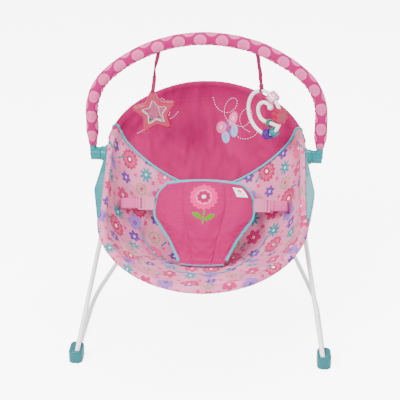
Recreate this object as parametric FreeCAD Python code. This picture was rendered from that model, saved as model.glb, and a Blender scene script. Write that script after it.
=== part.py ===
import FreeCAD, Part
import math
import os

V = FreeCAD.Vector

# An infant bouncer seat, millimetres. X across, -Y to the front (foot end), +Z up.
# It is first laid out with the toy bar's pivot axis at y = 0, then set over its origin.

# wire frame
wire_d = 9.5
socket_gap = 0.10
running_gap = 0.05
cloth_gap = 0.30
floor_wire_z = 7.0
foot_half_width = 247.0
waist_half_width = 243.0
waist_y = -40.0
rear_half_width = 185.0
rear_y = 265.0
waist_radius = 700.0
rear_radius = 130.0
front_bend_y = -284.0
front_bend_radius = 12.0
spring_gap = 1.3
leg_rise_deg = 49.0

# rear cross tube and its rubber boots
rear_tube_d = 13.0
rear_tube_half = 62.0
rear_plug = 32.0
boot_length = 28.0
boot_width = 20.0
boot_height = 17.0

# front foot caps
cap_width = 28.0
cap_front = 21.0
cap_back = 24.0
cap_height = 27.0
cap_corner = 11.0
cap_edge = 5.0
cap_slot_gap = 0.5

# seat loop
hub_z = 330.0
seat_half = 207.0
side_slope_deg = 30.0
side_length = 160.5
back_slope_deg = 38.0
back_depth = 178.0
back_side_radius = 160.0
front_slope_deg = 20.0
front_depth = 196.0
front_side_radius = 185.0
back_plug = 13.0
front_plug = 30.0

# side brackets
shell_in = 7.2
shell_hub_out = 5.0
shell_bulge = 20.0
shell_tip_out = 6.0
shell_top = 9.0
shell_wall = 2.5
leg_top_t = 72.0
screw_d = 3.0
screw_head_d = 6.0
screw_head_h = 2.0

# toy bar pivot
drum_gap = 0.4
drum_d = 31.0
bar_drum_d = 27.4
drum_out = 14.5
bar_drum_length = 21.0
pin_d = 6.0
pin_head_d = 10.0
pin_head_h = 2.0
neck_d = 15.0
neck_top = 20.0

# toy bar
bar_offset = 31.0
bar_side = 89.0
bar_arch = 164.0
bar_side_radius = 120.0
sleeve_d = 27.0
sleeve_gap = 0.5

# sling
hem_cloth = 2.5
sling_cloth = 4.0
sling_rim_gap = 0.6
sling_depth = 130.0
sling_depth_head = 74.0
sling_depth_front = 58.0
sling_low_y = -85.0
sling_spread = 100.0
sling_rise = 8.4
seam_centre_r = 173.0
seam_side_r = 242.0
seam_gap = 0.4


# buckles and their webbing
buckle_x = 103.0
buckle_y = -79.0
buckle_z = 251.0
buckle_tilt_deg = 56.0
buckle_width = 28.0
buckle_depth = 9.0
socket_length = 21.0
plug_base = 12.0
prong_length = 16.0
prong_width = 5.0
prong_depth = 3.6
buckle_wall = 2.0
buckle_gap = 0.2
webbing = 1.6
web_width = 22.0

# label
tag_width = 22.0
tag_height = 25.0
tag_cloth = 0.8

# star toy
star_x = -106.4
star_z = 424.5
star_lean_deg = 8.7
star_tip = 52.0
star_notch = 27.0
star_band = 10.0
star_depth = 15.0
pane = 1.2
pane_inset = 1.5
liner = 1.0
toy_gap = 0.1
ball_big_d = 6.4
ball_small_d = 5.2
strap_width = 9.0
collar_gap = 0.3
collar_wall = 1.5
star_strap_x = -99.8

# ring toy
ring_x = 120.0
ring_z = 427.0
ring_yaw_deg = 45.0
ring_radius = 46.0
ring_d = 7.8
hook_radius = 20.5
hook_u = 3.0
hook_v = 2.0
hook_ball_d = 13.0
bead_gap = 0.9
ring_strap_x = 106.0
loop_angle_deg = 100.0
pink_bead_d = 23.0
pink_bead_length = 18.0
pink_bead_deg = 58.0
teal_bead_d = 20.0
teal_bead_length = 13.0
teal_bead_deg = -49.0
purple_bead_d = 22.0
purple_bead_length = 16.0
purple_bead_deg = -73.0
wheel_d = 35.0
wheel_depth = 14.0
wheel_deg = 6.0
mirror_d = 24.0
mirror_depth = 1.2
thin_d = 16.0
thin_depth = 3.0
lime_u = 13.5
aqua_u = 18.0


def unit(vector):
    return vector.multiply(1.0 / vector.Length)


def rounded_edges(points, radii):
    """Straight runs joined by tangent arcs; radii has one value per inner point."""
    edges = []
    start = points[0]
    for i in range(1, len(points) - 1):
        corner = points[i]
        into = unit(corner - points[i - 1])
        away = unit(points[i + 1] - corner)
        turn = into.getAngle(away)
        reach = radii[i - 1] * math.tan(turn / 2)
        first = corner - into * reach
        last = corner + away * reach
        bisector = unit(away - into)
        centre = corner + bisector * (radii[i - 1] / math.cos(turn / 2))
        middle = centre - bisector * radii[i - 1]
        if (first - start).Length > 1e-6:
            edges.append(Part.LineSegment(start, first).toShape())
        edges.append(Part.Arc(first, middle, last).toShape())
        start = last
    edges.append(Part.LineSegment(start, points[-1]).toShape())
    return edges


def oval_edges(half, depth, side_radius, place, plug, lift=0.0):
    """Half of a three-centre oval with straight plugs, or started a little way up."""
    offset = half - side_radius
    top_radius = (offset ** 2 + depth ** 2 - side_radius ** 2) / (2 * (depth - side_radius))
    centre_v = depth - top_radius
    angle = math.atan2(-centre_v, offset)
    mid = angle / 2
    joint = (offset + side_radius * math.cos(angle), side_radius * math.sin(angle))
    side_mid = (offset + side_radius * math.cos(mid), side_radius * math.sin(mid))
    rise = math.asin(lift / side_radius)
    foot_u = offset + side_radius * math.cos(rise)
    left_foot = place(-foot_u, lift)
    right_foot = place(foot_u, lift)
    left_joint = place(-joint[0], joint[1])
    right_joint = place(joint[0], joint[1])
    edges = []
    if plug > 0:
        edges.append(Part.LineSegment(place(-half, -plug), left_foot).toShape())
    edges.append(Part.Arc(left_foot, place(-side_mid[0], side_mid[1]), left_joint).toShape())
    edges.append(Part.Arc(left_joint, place(0, depth), right_joint).toShape())
    edges.append(Part.Arc(right_joint, place(side_mid[0], side_mid[1]), right_foot).toShape())
    if plug > 0:
        edges.append(Part.LineSegment(right_foot, place(half, -plug)).toShape())
    return edges


def pipe(edges, diameter):
    """A round bar along tangent runs and arcs."""
    start = edges[0].valueAt(edges[0].FirstParameter)
    heading = edges[0].tangentAt(edges[0].FirstParameter)
    ring = Part.Wire([Part.makeCircle(diameter / 2, start, heading)])
    return Part.Wire(edges).makePipeShell([ring], True, False)


def rod(start, end, diameter):
    along = end - start
    return Part.makeCylinder(diameter / 2, along.Length, start, along)


def box(x0, x1, y0, y1, z0, z1):
    return Part.makeBox(x1 - x0, y1 - y0, z1 - z0, V(x0, y0, z0))


def mirrored(shape):
    return shape.mirror(V(0, 0, 0), V(1, 0, 0))


def closed_prism(points, radii, along):
    """An extruded closed outline whose corners are rounded."""
    count = len(points)
    edges = []
    ends = []
    for i in range(count):
        corner = points[i]
        into = unit(corner - points[i - 1])
        away = unit(points[(i + 1) % count] - corner)
        turn = into.getAngle(away)
        reach = radii[i] * math.tan(turn / 2)
        bisector = unit(away - into)
        centre = corner + bisector * (radii[i] / math.cos(turn / 2))
        ends.append((corner - into * reach, centre - bisector * radii[i], corner + away * reach))
    for i in range(count):
        edges.append(Part.Arc(ends[i][0], ends[i][1], ends[i][2]).toShape())
        edges.append(Part.LineSegment(ends[i][2], ends[(i + 1) % count][0]).toShape())
    return Part.Face(Part.Wire(edges)).extrude(along)


nodes = {}


def both(name, shape):
    """The given solid is the right-hand one; its mirror image is the left."""
    nodes[name + "_right"] = shape
    nodes[name + "_left"] = mirrored(shape)


# ---- floor loop, front bends and legs -------------------------------------------
hub = V(0, 0, hub_z)
side_slope = math.radians(side_slope_deg)
side_dir = V(0, -math.cos(side_slope), -math.sin(side_slope))
side_up = V(0, -math.sin(side_slope), math.cos(side_slope))


def bracket_point(x, t, n):
    """A place on a bracket: across, down its length, and square to it."""
    return V(x, 0, hub_z) + side_dir * t + side_up * n


leg_rise = math.radians(leg_rise_deg)
leg_turn = math.pi - leg_rise
bend_reach = front_bend_radius * math.tan(leg_turn / 2)
bend_corner = V(foot_half_width, front_bend_y - bend_reach, floor_wire_z)
leg_line_y = bend_corner.y
# where the leg's line, seen from the side, reaches its end inside the bracket
leg_dir_side = V(0, math.cos(leg_rise), math.sin(leg_rise))
relative = V(0, leg_line_y, floor_wire_z - hub_z)
leg_run = (leg_top_t - relative.dot(side_dir)) / leg_dir_side.dot(side_dir)
leg_top = V(seat_half, leg_line_y, floor_wire_z) + leg_dir_side * leg_run
leg_knee_run = leg_run - 108.0
leg_knee = V(seat_half, leg_line_y, floor_wire_z) + leg_dir_side * leg_knee_run
leg_edges = rounded_edges([leg_top, leg_knee, bend_corner, V(foot_half_width, waist_y, floor_wire_z)], [260.0, front_bend_radius])
bend_edge = leg_edges[3]
leg_wire = pipe(leg_edges[:4], wire_d)
bend_start = bend_edge.valueAt(bend_edge.LastParameter)
bend_centre = bend_edge.Curve.Center
bend_normal = unit(V(bend_edge.Curve.Axis))
if bend_normal.x < 0:
    bend_normal = bend_normal * -1.0
both("leg_wire", leg_wire)

floor_points = [
    bend_start + V(0, spring_gap, 0),
    V(waist_half_width, waist_y, floor_wire_z),
    V(rear_half_width, rear_y, floor_wire_z),
    V(rear_tube_half - rear_plug, rear_y, floor_wire_z),
]
floor_edges = rounded_edges(floor_points, [waist_radius, rear_radius])
both("base_wire", pipe(floor_edges, wire_d))

rear_tube = rod(V(-rear_tube_half, rear_y, floor_wire_z), V(rear_tube_half, rear_y, floor_wire_z), rear_tube_d)
rear_bore = rod(V(-rear_tube_half, rear_y, floor_wire_z), V(rear_tube_half, rear_y, floor_wire_z), wire_d + 2 * socket_gap)
nodes["rear_base_tube"] = rear_tube.cut(rear_bore)

boot_mid = rear_tube_half
boot = box(boot_mid - boot_length / 2, boot_mid + boot_length / 2, rear_y - boot_width / 2, rear_y + boot_width / 2, 0, boot_height)
boot = boot.makeFillet(5.0, [e for e in boot.Edges if e.BoundBox.ZMax > 1.0 and e.BoundBox.ZMin > 1.0])
boot = boot.cut(rod(V(0, rear_y, floor_wire_z), V(boot_mid, rear_y, floor_wire_z), rear_tube_d + 2 * socket_gap))
boot = boot.cut(rod(V(0, rear_y, floor_wire_z), V(boot_mid + boot_length, rear_y, floor_wire_z), wire_d + 2 * socket_gap))
both("rear_boot", boot)

cap = box(
    foot_half_width - cap_width / 2,
    foot_half_width + cap_width / 2,
    front_bend_y - cap_front,
    front_bend_y + cap_back,
    0,
    cap_height,
)
cap = cap.makeFillet(cap_corner, [e for e in cap.Edges if e.BoundBox.ZLength > cap_height - 1])
cap = cap.makeFillet(cap_edge, [e for e in cap.Edges if e.BoundBox.ZMin > cap_height - 1])
slot_width = wire_d + 2 * cap_slot_gap
slot_radius = front_bend_radius + wire_d / 2 + cap_slot_gap
slot = Part.makeCylinder(slot_radius, slot_width, bend_centre - bend_normal * (slot_width / 2), bend_normal)
cap = cap.cut(slot)
cap = cap.cut(rod(bend_start, bend_start + V(0, 60, 0), wire_d + 2 * cap_slot_gap))
both("front_foot", cap)


# ---- seat loop ------------------------------------------------------------------
back_slope = math.radians(back_slope_deg)
front_slope = math.radians(front_slope_deg)
side_end = hub + side_dir * side_length


def back_place(u, v):
    return V(u, v * math.cos(back_slope), hub_z + v * math.sin(back_slope))


def front_place(u, v):
    return V(u, side_end.y - v * math.cos(front_slope), side_end.z - v * math.sin(front_slope))


back_edges = oval_edges(seat_half, back_depth, back_side_radius, back_place, back_plug)
front_edges = oval_edges(seat_half, front_depth, front_side_radius, front_place, front_plug)
nodes["upper_seat_tube"] = pipe(back_edges, wire_d)
nodes["lower_seat_tube"] = pipe(front_edges, wire_d)

# ---- side brackets: two shells clamped on the tubes and the leg ------------------
shell_outline = [(-19, 15, 12), (60, shell_top + 0.5, 60), (172, shell_top, 6), (170, -16, 8), (146, -34, 12), (60, -22, 60), (-19, -17, 14)]
shell_points = [bracket_point(seat_half - shell_in, p[0], p[1]) for p in shell_outline]
shell_side = closed_prism(shell_points, [p[2] for p in shell_outline], V(shell_in + shell_bulge + 5, 0, 0))
plan_outline = [
    (-shell_in, -30, 1.0),
    (-shell_in, 180, 1.0),
    (shell_tip_out, 180, 1.0),
    (shell_bulge, 100, 40.0),
    (shell_hub_out, 12, 60.0),
    (shell_hub_out, -30, 1.0),
]
plan_points = [bracket_point(seat_half + p[0], p[1], -45) for p in plan_outline]
shell_plan = closed_prism(plan_points, [p[2] for p in plan_outline], side_up * 80)
shell_body = shell_side.common(shell_plan)
channel_d = wire_d + 2 * socket_gap
back_channel = pipe(back_edges, channel_d)
front_channel = pipe(front_edges, channel_d)
leg_channel = pipe(leg_edges[:3], channel_d)
far = 400.0
outer_space = box(seat_half, seat_half + far, -far, far, 0, 2 * far)
inner_space = box(seat_half - far, seat_half, -far, far, 0, 2 * far)
drum_face = seat_half + drum_out
bar_half = seat_half + bar_offset
bar_drum_face = drum_face + drum_gap
bar_drum_end = bar_drum_face + bar_drum_length
drum = rod(V(seat_half + 1, 0, hub_z), V(drum_face, 0, hub_z), drum_d)
pin_start = seat_half + channel_d / 2 + 0.8
pin_bore = rod(V(pin_start, 0, hub_z), V(bar_drum_end, 0, hub_z), pin_d + 2 * running_gap)
outer_shell = shell_body.common(outer_space).fuse(drum)
pocket_points = [bracket_point(seat_half, p[0], p[1]) for p in [(24, -13), (24, 4), (62, 4), (62, -13)]]
pocket = closed_prism(pocket_points, [3.0, 3.0, 3.0, 3.0], V(shell_hub_out - shell_wall + 2, 0, 0))
outer_shell = outer_shell.cut(pocket)
inner_shell = shell_body.common(inner_space)
for channel in [back_channel, front_channel, leg_channel]:
    outer_shell = outer_shell.cut(channel)
    inner_shell = inner_shell.cut(channel)
outer_shell = outer_shell.cut(pin_bore)
screw_sites = [(42, -17.5), (118, -0.5), (160, -14)]
for t, n in screw_sites:
    head_in = bracket_point(seat_half - shell_in, t, n)
    head_seat = bracket_point(seat_half - shell_in + screw_head_h, t, n)
    tip = bracket_point(seat_half + shell_hub_out - 1.5, t, n)
    shank_hole = rod(head_seat, tip, screw_d + 2 * running_gap)
    head_hole = rod(head_in, head_seat, screw_head_d + 2 * running_gap)
    inner_shell = inner_shell.cut(head_hole).cut(shank_hole)
    outer_shell = outer_shell.cut(shank_hole)
both("bracket_outer_shell", outer_shell)
both("bracket_inner_shell", inner_shell)
for k in range(len(screw_sites)):
    t, n = screw_sites[k]
    head_in = bracket_point(seat_half - shell_in, t, n)
    head_seat = bracket_point(seat_half - shell_in + screw_head_h, t, n)
    tip = bracket_point(seat_half + shell_hub_out - 1.5, t, n)
    screw = rod(head_in, head_seat, screw_head_d).fuse(rod(head_seat, tip, screw_d))
    if k == 0:
        screws = screw
    else:
        screws = Part.makeCompound([screws, screw])
both("bracket_screws", screws)

# ---- toy bar and its pivots -------------------------------------------------------
def bar_place(u, v):
    return V(u, 0, hub_z + bar_side + v)


bar_end = rod(V(bar_drum_face, 0, hub_z), V(bar_drum_end, 0, hub_z), bar_drum_d)
core_start = pin_head_d / 2 + 1.0
bar_end = bar_end.fuse(rod(V(bar_half, 0, hub_z + core_start), V(bar_half, 0, hub_z + neck_top), neck_d))
bar_end = bar_end.cut(rod(V(bar_half, 0, hub_z + core_start), V(bar_half, 0, hub_z + neck_top), channel_d))
bar_end = bar_end.cut(pin_bore)
both("toy_bar_end", bar_end)
pin = rod(V(pin_start, 0, hub_z), V(bar_drum_end, 0, hub_z), pin_d)
pin = pin.fuse(rod(V(bar_drum_end + running_gap, 0, hub_z), V(bar_drum_end + running_gap + pin_head_h, 0, hub_z), pin_head_d))
pin = pin.fuse(rod(V(bar_drum_end, 0, hub_z), V(bar_drum_end + running_gap + pin_head_h, 0, hub_z), pin_d))
both("pivot_pin", pin)
bar_edges = oval_edges(bar_half, bar_arch, bar_side_radius, bar_place, bar_side - core_start)
nodes["toy_bar_core"] = pipe(bar_edges, wire_d)
sleeve_edges = oval_edges(bar_half, bar_arch, bar_side_radius, bar_place, bar_side - neck_top - sleeve_gap)
sleeve_bore = wire_d + 2 * cloth_gap
nodes["toy_bar_sleeve"] = pipe(sleeve_edges, sleeve_d).cut(pipe(sleeve_edges, sleeve_bore))

# ---- sling: one hanging surface, sewn as a seat panel and a head panel ------------
hem_d = wire_d + 2 * (cloth_gap + hem_cloth)
hem_bore = wire_d + 2 * cloth_gap
hem_lift_back = 24.0
hem_lift_front = 16.0
back_hem_edges = oval_edges(seat_half, back_depth, back_side_radius, back_place, 0, hem_lift_back)
front_hem_edges = oval_edges(seat_half, front_depth, front_side_radius, front_place, 0, hem_lift_front)
nodes["head_hem"] = pipe(back_hem_edges, hem_d).cut(pipe(back_hem_edges, hem_bore))
nodes["front_hem"] = pipe(front_hem_edges, hem_d).cut(pipe(front_hem_edges, hem_bore))

flap_gap = 0.5
flap_inner = shell_in + 1.5
flap_outer = 0.9
flap_line = [(-21, 15.3), (60, shell_top + 0.5), (173, shell_top)]
lower_line = [bracket_point(seat_half - flap_inner, p[0], p[1] + flap_gap) for p in flap_line]
upper_line = [bracket_point(seat_half - flap_inner, p[0], p[1] + flap_gap + hem_cloth) for p in reversed(flap_line)]
flap = closed_prism(lower_line + upper_line, [0.6, 60.0, 0.6, 0.6, 60.0, 0.6], V(flap_inner + flap_outer, 0, 0))
both("side_flap", flap)

inset = hem_d / 2 + sling_rim_gap + sling_cloth
sling_half = seat_half - inset
sling_back = back_depth - inset
sling_front = front_depth - inset


def oval_reach(half, depth, side_radius, slope, x, v):
    """How far the inset three-centre oval lies from its centre, towards (x, v).

    The sling hangs upright inside a sloping tube, so the inset grows towards the end.
    """
    offset = half - side_radius
    top_radius = (offset ** 2 + depth ** 2 - side_radius ** 2) / (2 * (depth - side_radius))
    centre_v = depth - top_radius
    angle = math.atan2(-centre_v, offset)
    heading = math.atan2(v, abs(x))
    steep = (inset - sling_rim_gap) * (1 / math.cos(slope) - 1)
    inward = inset + steep * math.sin(heading) ** 2
    small = side_radius - inward
    joint = math.atan2(small * math.sin(angle), offset + small * math.cos(angle))
    if heading < joint:
        along = offset * math.cos(heading)
        return along + math.sqrt(along ** 2 - offset ** 2 + small ** 2)
    along = centre_v * math.sin(heading)
    return along + math.sqrt(along ** 2 - centre_v ** 2 + (top_radius - inward) ** 2)


def back_reach(x, v):
    return oval_reach(seat_half, back_depth, back_side_radius, back_slope, x, v)


def front_reach_at(x, v):
    return oval_reach(seat_half, front_depth, front_side_radius, front_slope, x, v)


def sling_spot(s, r):
    """Plan place of a point across (s) and along (r) the sling."""
    if 0 <= r <= side_length:
        return sling_half * s, side_end.y + r * math.cos(side_slope)
    if r < 0:
        w = -r / sling_front
        depth = sling_front
        reach = front_reach_at
    else:
        w = (r - side_length) / sling_back
        depth = sling_back
        reach = back_reach
    across = s * math.sqrt(1 - w * w / 2)
    along = w * math.sqrt(1 - s * s / 2)
    size = math.hypot(across, along)
    x = across * sling_half
    v = along * depth
    grow = size * reach(x, v) / math.hypot(x, v)
    if r < 0:
        return x * grow, side_end.y - v * grow * math.cos(front_slope)
    return x * grow, v * grow * math.cos(back_slope)


def sling_height(x, y):
    """Height of the sling's upper surface."""
    out = abs(x) / sling_half
    rim = hub_z + y * math.tan(side_slope)
    ease = sling_depth_head
    if y > 0:
        v = y / math.cos(back_slope)
        out = math.hypot(x, v) / back_reach(x, v)
        rim = hub_z + y * math.tan(back_slope)
    if y < side_end.y:
        v = (side_end.y - y) / math.cos(front_slope)
        out = math.hypot(x, v) / front_reach_at(x, v)
        rim = side_end.z - (side_end.y - y) * math.tan(front_slope)
    if y < sling_low_y:
        ease = sling_depth_front
    deep = ease + (sling_depth - ease) * math.exp(-((y - sling_low_y) / sling_spread) ** 2)
    return rim + sling_rise - deep * max(0.0, 1 - out ** 2.4) ** 0.6


def sling_normal(x, y, rim):
    x = x * 0.985
    y = sling_low_y + (y - sling_low_y) * 0.985
    slope_x = (sling_height(x + 0.5, y) - sling_height(x - 0.5, y))
    slope_y = (sling_height(x, y + 0.5) - sling_height(x, y - 0.5))
    if rim:
        return unit(V(slope_x, slope_y, 0))
    return unit(V(slope_x, slope_y, -1))


def skin(grid):
    surface = Part.BSplineSurface()
    surface.interpolate(grid)
    return surface.toShape()


def padded(inner, outer):
    """A closed solid between two like grids of points."""
    faces = [skin(inner), skin(outer)]
    lines = []
    for grid in (inner, outer):
        curves = []
        for row in (grid[0], grid[-1], [g[0] for g in grid], [g[-1] for g in grid]):
            curves.append(row)
        lines.append(curves)
    inner_surface = faces[0].Surface
    outer_surface = faces[1].Surface
    u0, u1, v0, v1 = inner_surface.bounds()
    a0, a1, b0, b1 = outer_surface.bounds()
    pairs = [
        (inner_surface.uIso(u0), outer_surface.uIso(a0)),
        (inner_surface.uIso(u1), outer_surface.uIso(a1)),
        (inner_surface.vIso(v0), outer_surface.vIso(b0)),
        (inner_surface.vIso(v1), outer_surface.vIso(b1)),
    ]
    for first, second in pairs:
        faces.append(Part.makeRuledSurface(first.toShape(), second.toShape()))
    shell = Part.makeShell(faces)
    shell.sewShape()
    shell.fix(0.001, 0.001, 0.001)
    solid = Part.Solid(shell)
    if solid.Volume < 0:
        solid.reverse()
    return solid


def sling_panel(r_front, r_back, rows, columns):
    inner = []
    outer = []
    for i in range(rows + 1):
        inner_row = []
        outer_row = []
        for j in range(columns + 1):
            s = math.sin(math.pi / 2 * (-1 + 2 * j / columns))
            r = r_front(s) + (r_back(s) - r_front(s)) * i / rows
            x, y = sling_spot(s, r)
            rim = j in (0, columns) or r <= -sling_front + 1e-6 or r >= side_length + sling_back - 1e-6
            point = V(x, y, sling_height(x, y))
            inner_row.append(point)
            outer_row.append(point + sling_normal(x, y, rim) * sling_cloth)
        inner.append(inner_row)
        outer.append(outer_row)
    return padded(inner, outer)


def seam_r(s):
    return seam_centre_r + (seam_side_r - seam_centre_r) * abs(s) ** 1.6


nodes["seat_panel"] = sling_panel(lambda s: -sling_front, seam_r, 18, 16)
nodes["head_panel"] = sling_panel(lambda s: seam_r(s) + seam_gap, lambda s: side_length + sling_back, 8, 16)

# ---- restraint panel, crotch, buckles --------------------------------------------
panel_cloth = 9.0
panel_gap = 0.5
panel_rows = [
    (-60, 295, 78, 9),
    (-70, 287, 96, 22),
    (-90, 270, 101, 24),
    (-110, 252, 99, 22),
    (-130, 230, 84, 14),
    (-150, 204, 66, 7),
    (-169, 178, 53, 1),
]
panel_end_y = -186.0
panel_end_half = 43.0
panel_back = []
for y, z, half, drop in panel_rows:
    row = []
    for j in range(9):
        s = -1 + 2 * j / 8
        row.append(V(half * s, y + 8 * s * s * half / 100, z - drop * s * s))
    panel_back.append(row)
row = []
for j in range(9):
    x = panel_end_half * (-1 + 2 * j / 8)
    row.append(V(x, panel_end_y, sling_height(x, panel_end_y) + panel_gap))
panel_back.append(row)
panel_front = []
for i in range(len(panel_back)):
    row = []
    for j in range(9):
        along = panel_back[min(i + 1, len(panel_back) - 1)][j] - panel_back[max(i - 1, 0)][j]
        across = panel_back[i][min(j + 1, 8)] - panel_back[i][max(j - 1, 0)]
        row.append(panel_back[i][j] + unit(along.cross(across)) * panel_cloth)
    panel_front.append(row)
nodes["restraint_panel"] = padded(panel_back, panel_front)


# buckle frame: out along X, width down the panel's slope, thickness square to both
tilt = math.radians(buckle_tilt_deg)
width_dir = V(0, -math.cos(tilt), -math.sin(tilt))
thick_dir = V(0, -math.sin(tilt), math.cos(tilt))


def slab(x0, x1, w0, w1, n0, n1):
    """A block in the buckle's own directions."""
    base = V(x0, buckle_y, buckle_z) + width_dir * w0 + thick_dir * n0
    wire = Part.makePolygon([
        base,
        base + V(x1 - x0, 0, 0),
        base + V(x1 - x0, 0, 0) + width_dir * (w1 - w0),
        base + width_dir * (w1 - w0),
        base,
    ])
    return Part.Face(wire).extrude(thick_dir * (n1 - n0))


half_width = buckle_width / 2
half_depth = buckle_depth / 2
socket_end = buckle_x + socket_length
plug_start = socket_end + buckle_gap
plug_end = plug_start + plug_base
female = slab(buckle_x, socket_end, -half_width, half_width, -half_depth, half_depth)
hollow_w = half_width - buckle_wall
hollow_n = prong_depth / 2 + buckle_gap
female = female.cut(slab(socket_end - prong_length - 1, socket_end, -hollow_w, hollow_w, -hollow_n, hollow_n))
window = prong_length * 0.4
for side in (-1, 1):
    w_pair = sorted([side * hollow_w, side * half_width])
    female = female.cut(slab(socket_end - window - 3, socket_end - 3, w_pair[0], w_pair[1], -hollow_n, hollow_n))
both("buckle_socket", female)
male = slab(plug_start, plug_end, -half_width, half_width, -half_depth, half_depth)
prong_out = hollow_w - buckle_gap
for side in (-1, 1):
    w_pair = sorted([side * prong_out, side * (prong_out - prong_width)])
    male = male.fuse(slab(plug_start - prong_length, plug_start, w_pair[0], w_pair[1], -prong_depth / 2, prong_depth / 2))
male = male.fuse(slab(plug_start - prong_length, plug_start, -1.5, 1.5, -prong_depth / 2, prong_depth / 2))
web_slot = web_width / 2 + cloth_gap
male = male.cut(slab(plug_end - 7, plug_end - 3, -web_slot, web_slot, -half_depth, half_depth))
both("buckle_plug", male)

# the webbing runs from the plug's slot to the sling's wall
wall_x = plug_end
low_corner = V(0, buckle_y, buckle_z) + width_dir * (web_width / 2)
while sling_height(wall_x, low_corner.y) < low_corner.z - webbing:
    wall_x = wall_x + 0.05
web = slab(plug_end - 7 + cloth_gap, wall_x - cloth_gap, -web_width / 2, web_width / 2, half_depth + cloth_gap, half_depth + cloth_gap + webbing)
web_foot = slab(plug_end - 7 + cloth_gap, plug_end - 3 - cloth_gap, -web_width / 2, web_width / 2, -half_depth, half_depth + cloth_gap + webbing)
both("waist_strap", web.fuse(web_foot))

tab_end = buckle_x - buckle_gap

# label: a folded tag sewn on the panel's front
tag_row = panel_front[2][7]
tag_across = unit(panel_front[2][8] - panel_front[2][6])
tag_down = unit(panel_front[3][7] - panel_front[1][7])
tag_out = unit(tag_down.cross(tag_across))
tag_base = tag_row - tag_across * (tag_width / 2 + 4) - tag_down * (tag_height / 2 + 2) + tag_out * 0.5
tag_wire = Part.makePolygon([
    tag_base,
    tag_base + tag_across * tag_width,
    tag_base + tag_across * tag_width + tag_down * tag_height,
    tag_base + tag_down * tag_height,
    tag_base,
])
nodes["label_tag"] = Part.Face(tag_wire).extrude(tag_out * tag_cloth)

# ---- star toy ----------------------------------------------------------------------
bar_top_offset = bar_half - bar_side_radius
bar_top_radius = (bar_top_offset ** 2 + bar_arch ** 2 - bar_side_radius ** 2) / (2 * (bar_arch - bar_side_radius))
bar_centre_z = hub_z + bar_side + bar_arch - bar_top_radius


def bar_spot(x):
    return V(x, 0, bar_centre_z + math.sqrt(bar_top_radius ** 2 - x ** 2))


def bar_heading(x):
    angle = math.asin(x / bar_top_radius)
    return V(math.cos(angle), 0, -math.sin(angle))


def collar(x):
    spot = bar_spot(x)
    heading = bar_heading(x)
    start = spot - heading * (strap_width / 2)
    end = spot + heading * (strap_width / 2)
    outer_d = sleeve_d + 2 * (collar_gap + collar_wall)
    return rod(start, end, outer_d).cut(rod(start - heading, end + heading, sleeve_d + 2 * collar_gap))


def sleeve_room(x):
    """The space a strap's collar leaves around the bar's sleeve."""
    heading = bar_heading(x) * (2 * strap_width)
    return rod(bar_spot(x) - heading, bar_spot(x) + heading, sleeve_d + 2 * collar_gap)


def ribbon(start, end, broad_dir, width, thickness):
    """Flat webbing between two places, its breadth along the given direction."""
    along = unit(end - start)
    flat = unit(broad_dir - along * broad_dir.dot(along))
    normal = unit(along.cross(flat))
    base = start - flat * (width / 2) - normal * (thickness / 2)
    wire = Part.makePolygon([base, base + flat * width, base + flat * width + normal * thickness, base + normal * thickness, base])
    return Part.Face(wire).extrude(end - start)


def star_prism(tip, notch, tip_round, notch_round, y0, y1):
    points = []
    radii = []
    for k in range(10):
        size = tip if k % 2 == 0 else notch
        angle = math.radians(90 + star_lean_deg + 36 * k)
        points.append(V(star_x + size * math.cos(angle), y0, star_z + size * math.sin(angle)))
        radii.append(tip_round if k % 2 == 0 else notch_round)
    return closed_prism(points, radii, V(0, y1 - y0, 0))


notch_xz = (star_notch * math.sin(math.radians(36)), star_notch * math.cos(math.radians(36)))
star_side = math.hypot(notch_xz[0], star_tip - notch_xz[1])
tip_sine = notch_xz[0] / star_side
notch_sine = math.sin(math.radians(36) + math.asin(tip_sine))


def inner_star(step, tip_round, notch_round, y0, y1):
    """The star's outline moved inward by step."""
    return star_prism(star_tip - step / tip_sine, star_notch - step / notch_sine, tip_round, notch_round, y0, y1)


half_star = star_depth / 2
star = star_prism(star_tip, star_notch, 6.0, 10.0, -half_star, half_star)
star = star.makeFillet(4.0, [e for e in star.Edges if e.BoundBox.YLength < 0.1])
star = star.cut(inner_star(star_band, 3.0, 5.0, -half_star, half_star))
pane_front = -half_star + pane_inset
pane_back = half_star - pane_inset
nodes["star_pane_front"] = inner_star(star_band + toy_gap, 3.0, 5.0, pane_front, pane_front + pane)
nodes["star_pane_back"] = inner_star(star_band + toy_gap, 3.0, 5.0, pane_back - pane, pane_back)
band_front = pane_front + pane + toy_gap
band_back = pane_back - pane - toy_gap
star_liner = inner_star(star_band + toy_gap, 3.0, 5.0, band_front, band_back)
nodes["star_liner"] = star_liner.cut(inner_star(star_band + toy_gap + liner, 2.0, 6.0, band_front, band_back))
ball_step = star_tip - (star_band + toy_gap + liner) / tip_sine
ball_sites = []
for turn, size, above in [(2, ball_small_d, 0.0), (2, ball_big_d, ball_small_d / 2 + ball_big_d / 2 + toy_gap), (3, ball_small_d, 0.0)]:
    angle = math.radians(90 + star_lean_deg + 72 * turn)
    seat = ball_small_d / 2 + 2 * toy_gap
    reach = ball_step - seat / tip_sine - above
    ball_sites.append((V(star_x + reach * math.cos(angle), 0, star_z + reach * math.sin(angle)), size))
nodes["star_ball_left"] = Part.makeSphere(ball_sites[0][1] / 2, ball_sites[0][0])
nodes["star_ball_aqua"] = Part.makeSphere(ball_sites[1][1] / 2, ball_sites[1][0])
nodes["star_ball_right"] = Part.makeSphere(ball_sites[2][1] / 2, ball_sites[2][0])
top_angle = math.radians(90 + star_lean_deg)
top_dir = V(math.cos(top_angle), 0, math.sin(top_angle))
star_eye = V(star_x, 0, star_z) + top_dir * (star_tip - star_band / tip_sine + 4.5)
star_bar_spot = bar_spot(star_strap_x)
star_hang = unit(star_eye - star_bar_spot)
strap_top = star_bar_spot + star_hang * (sleeve_d / 2 + collar_gap + collar_wall / 2)
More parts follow.
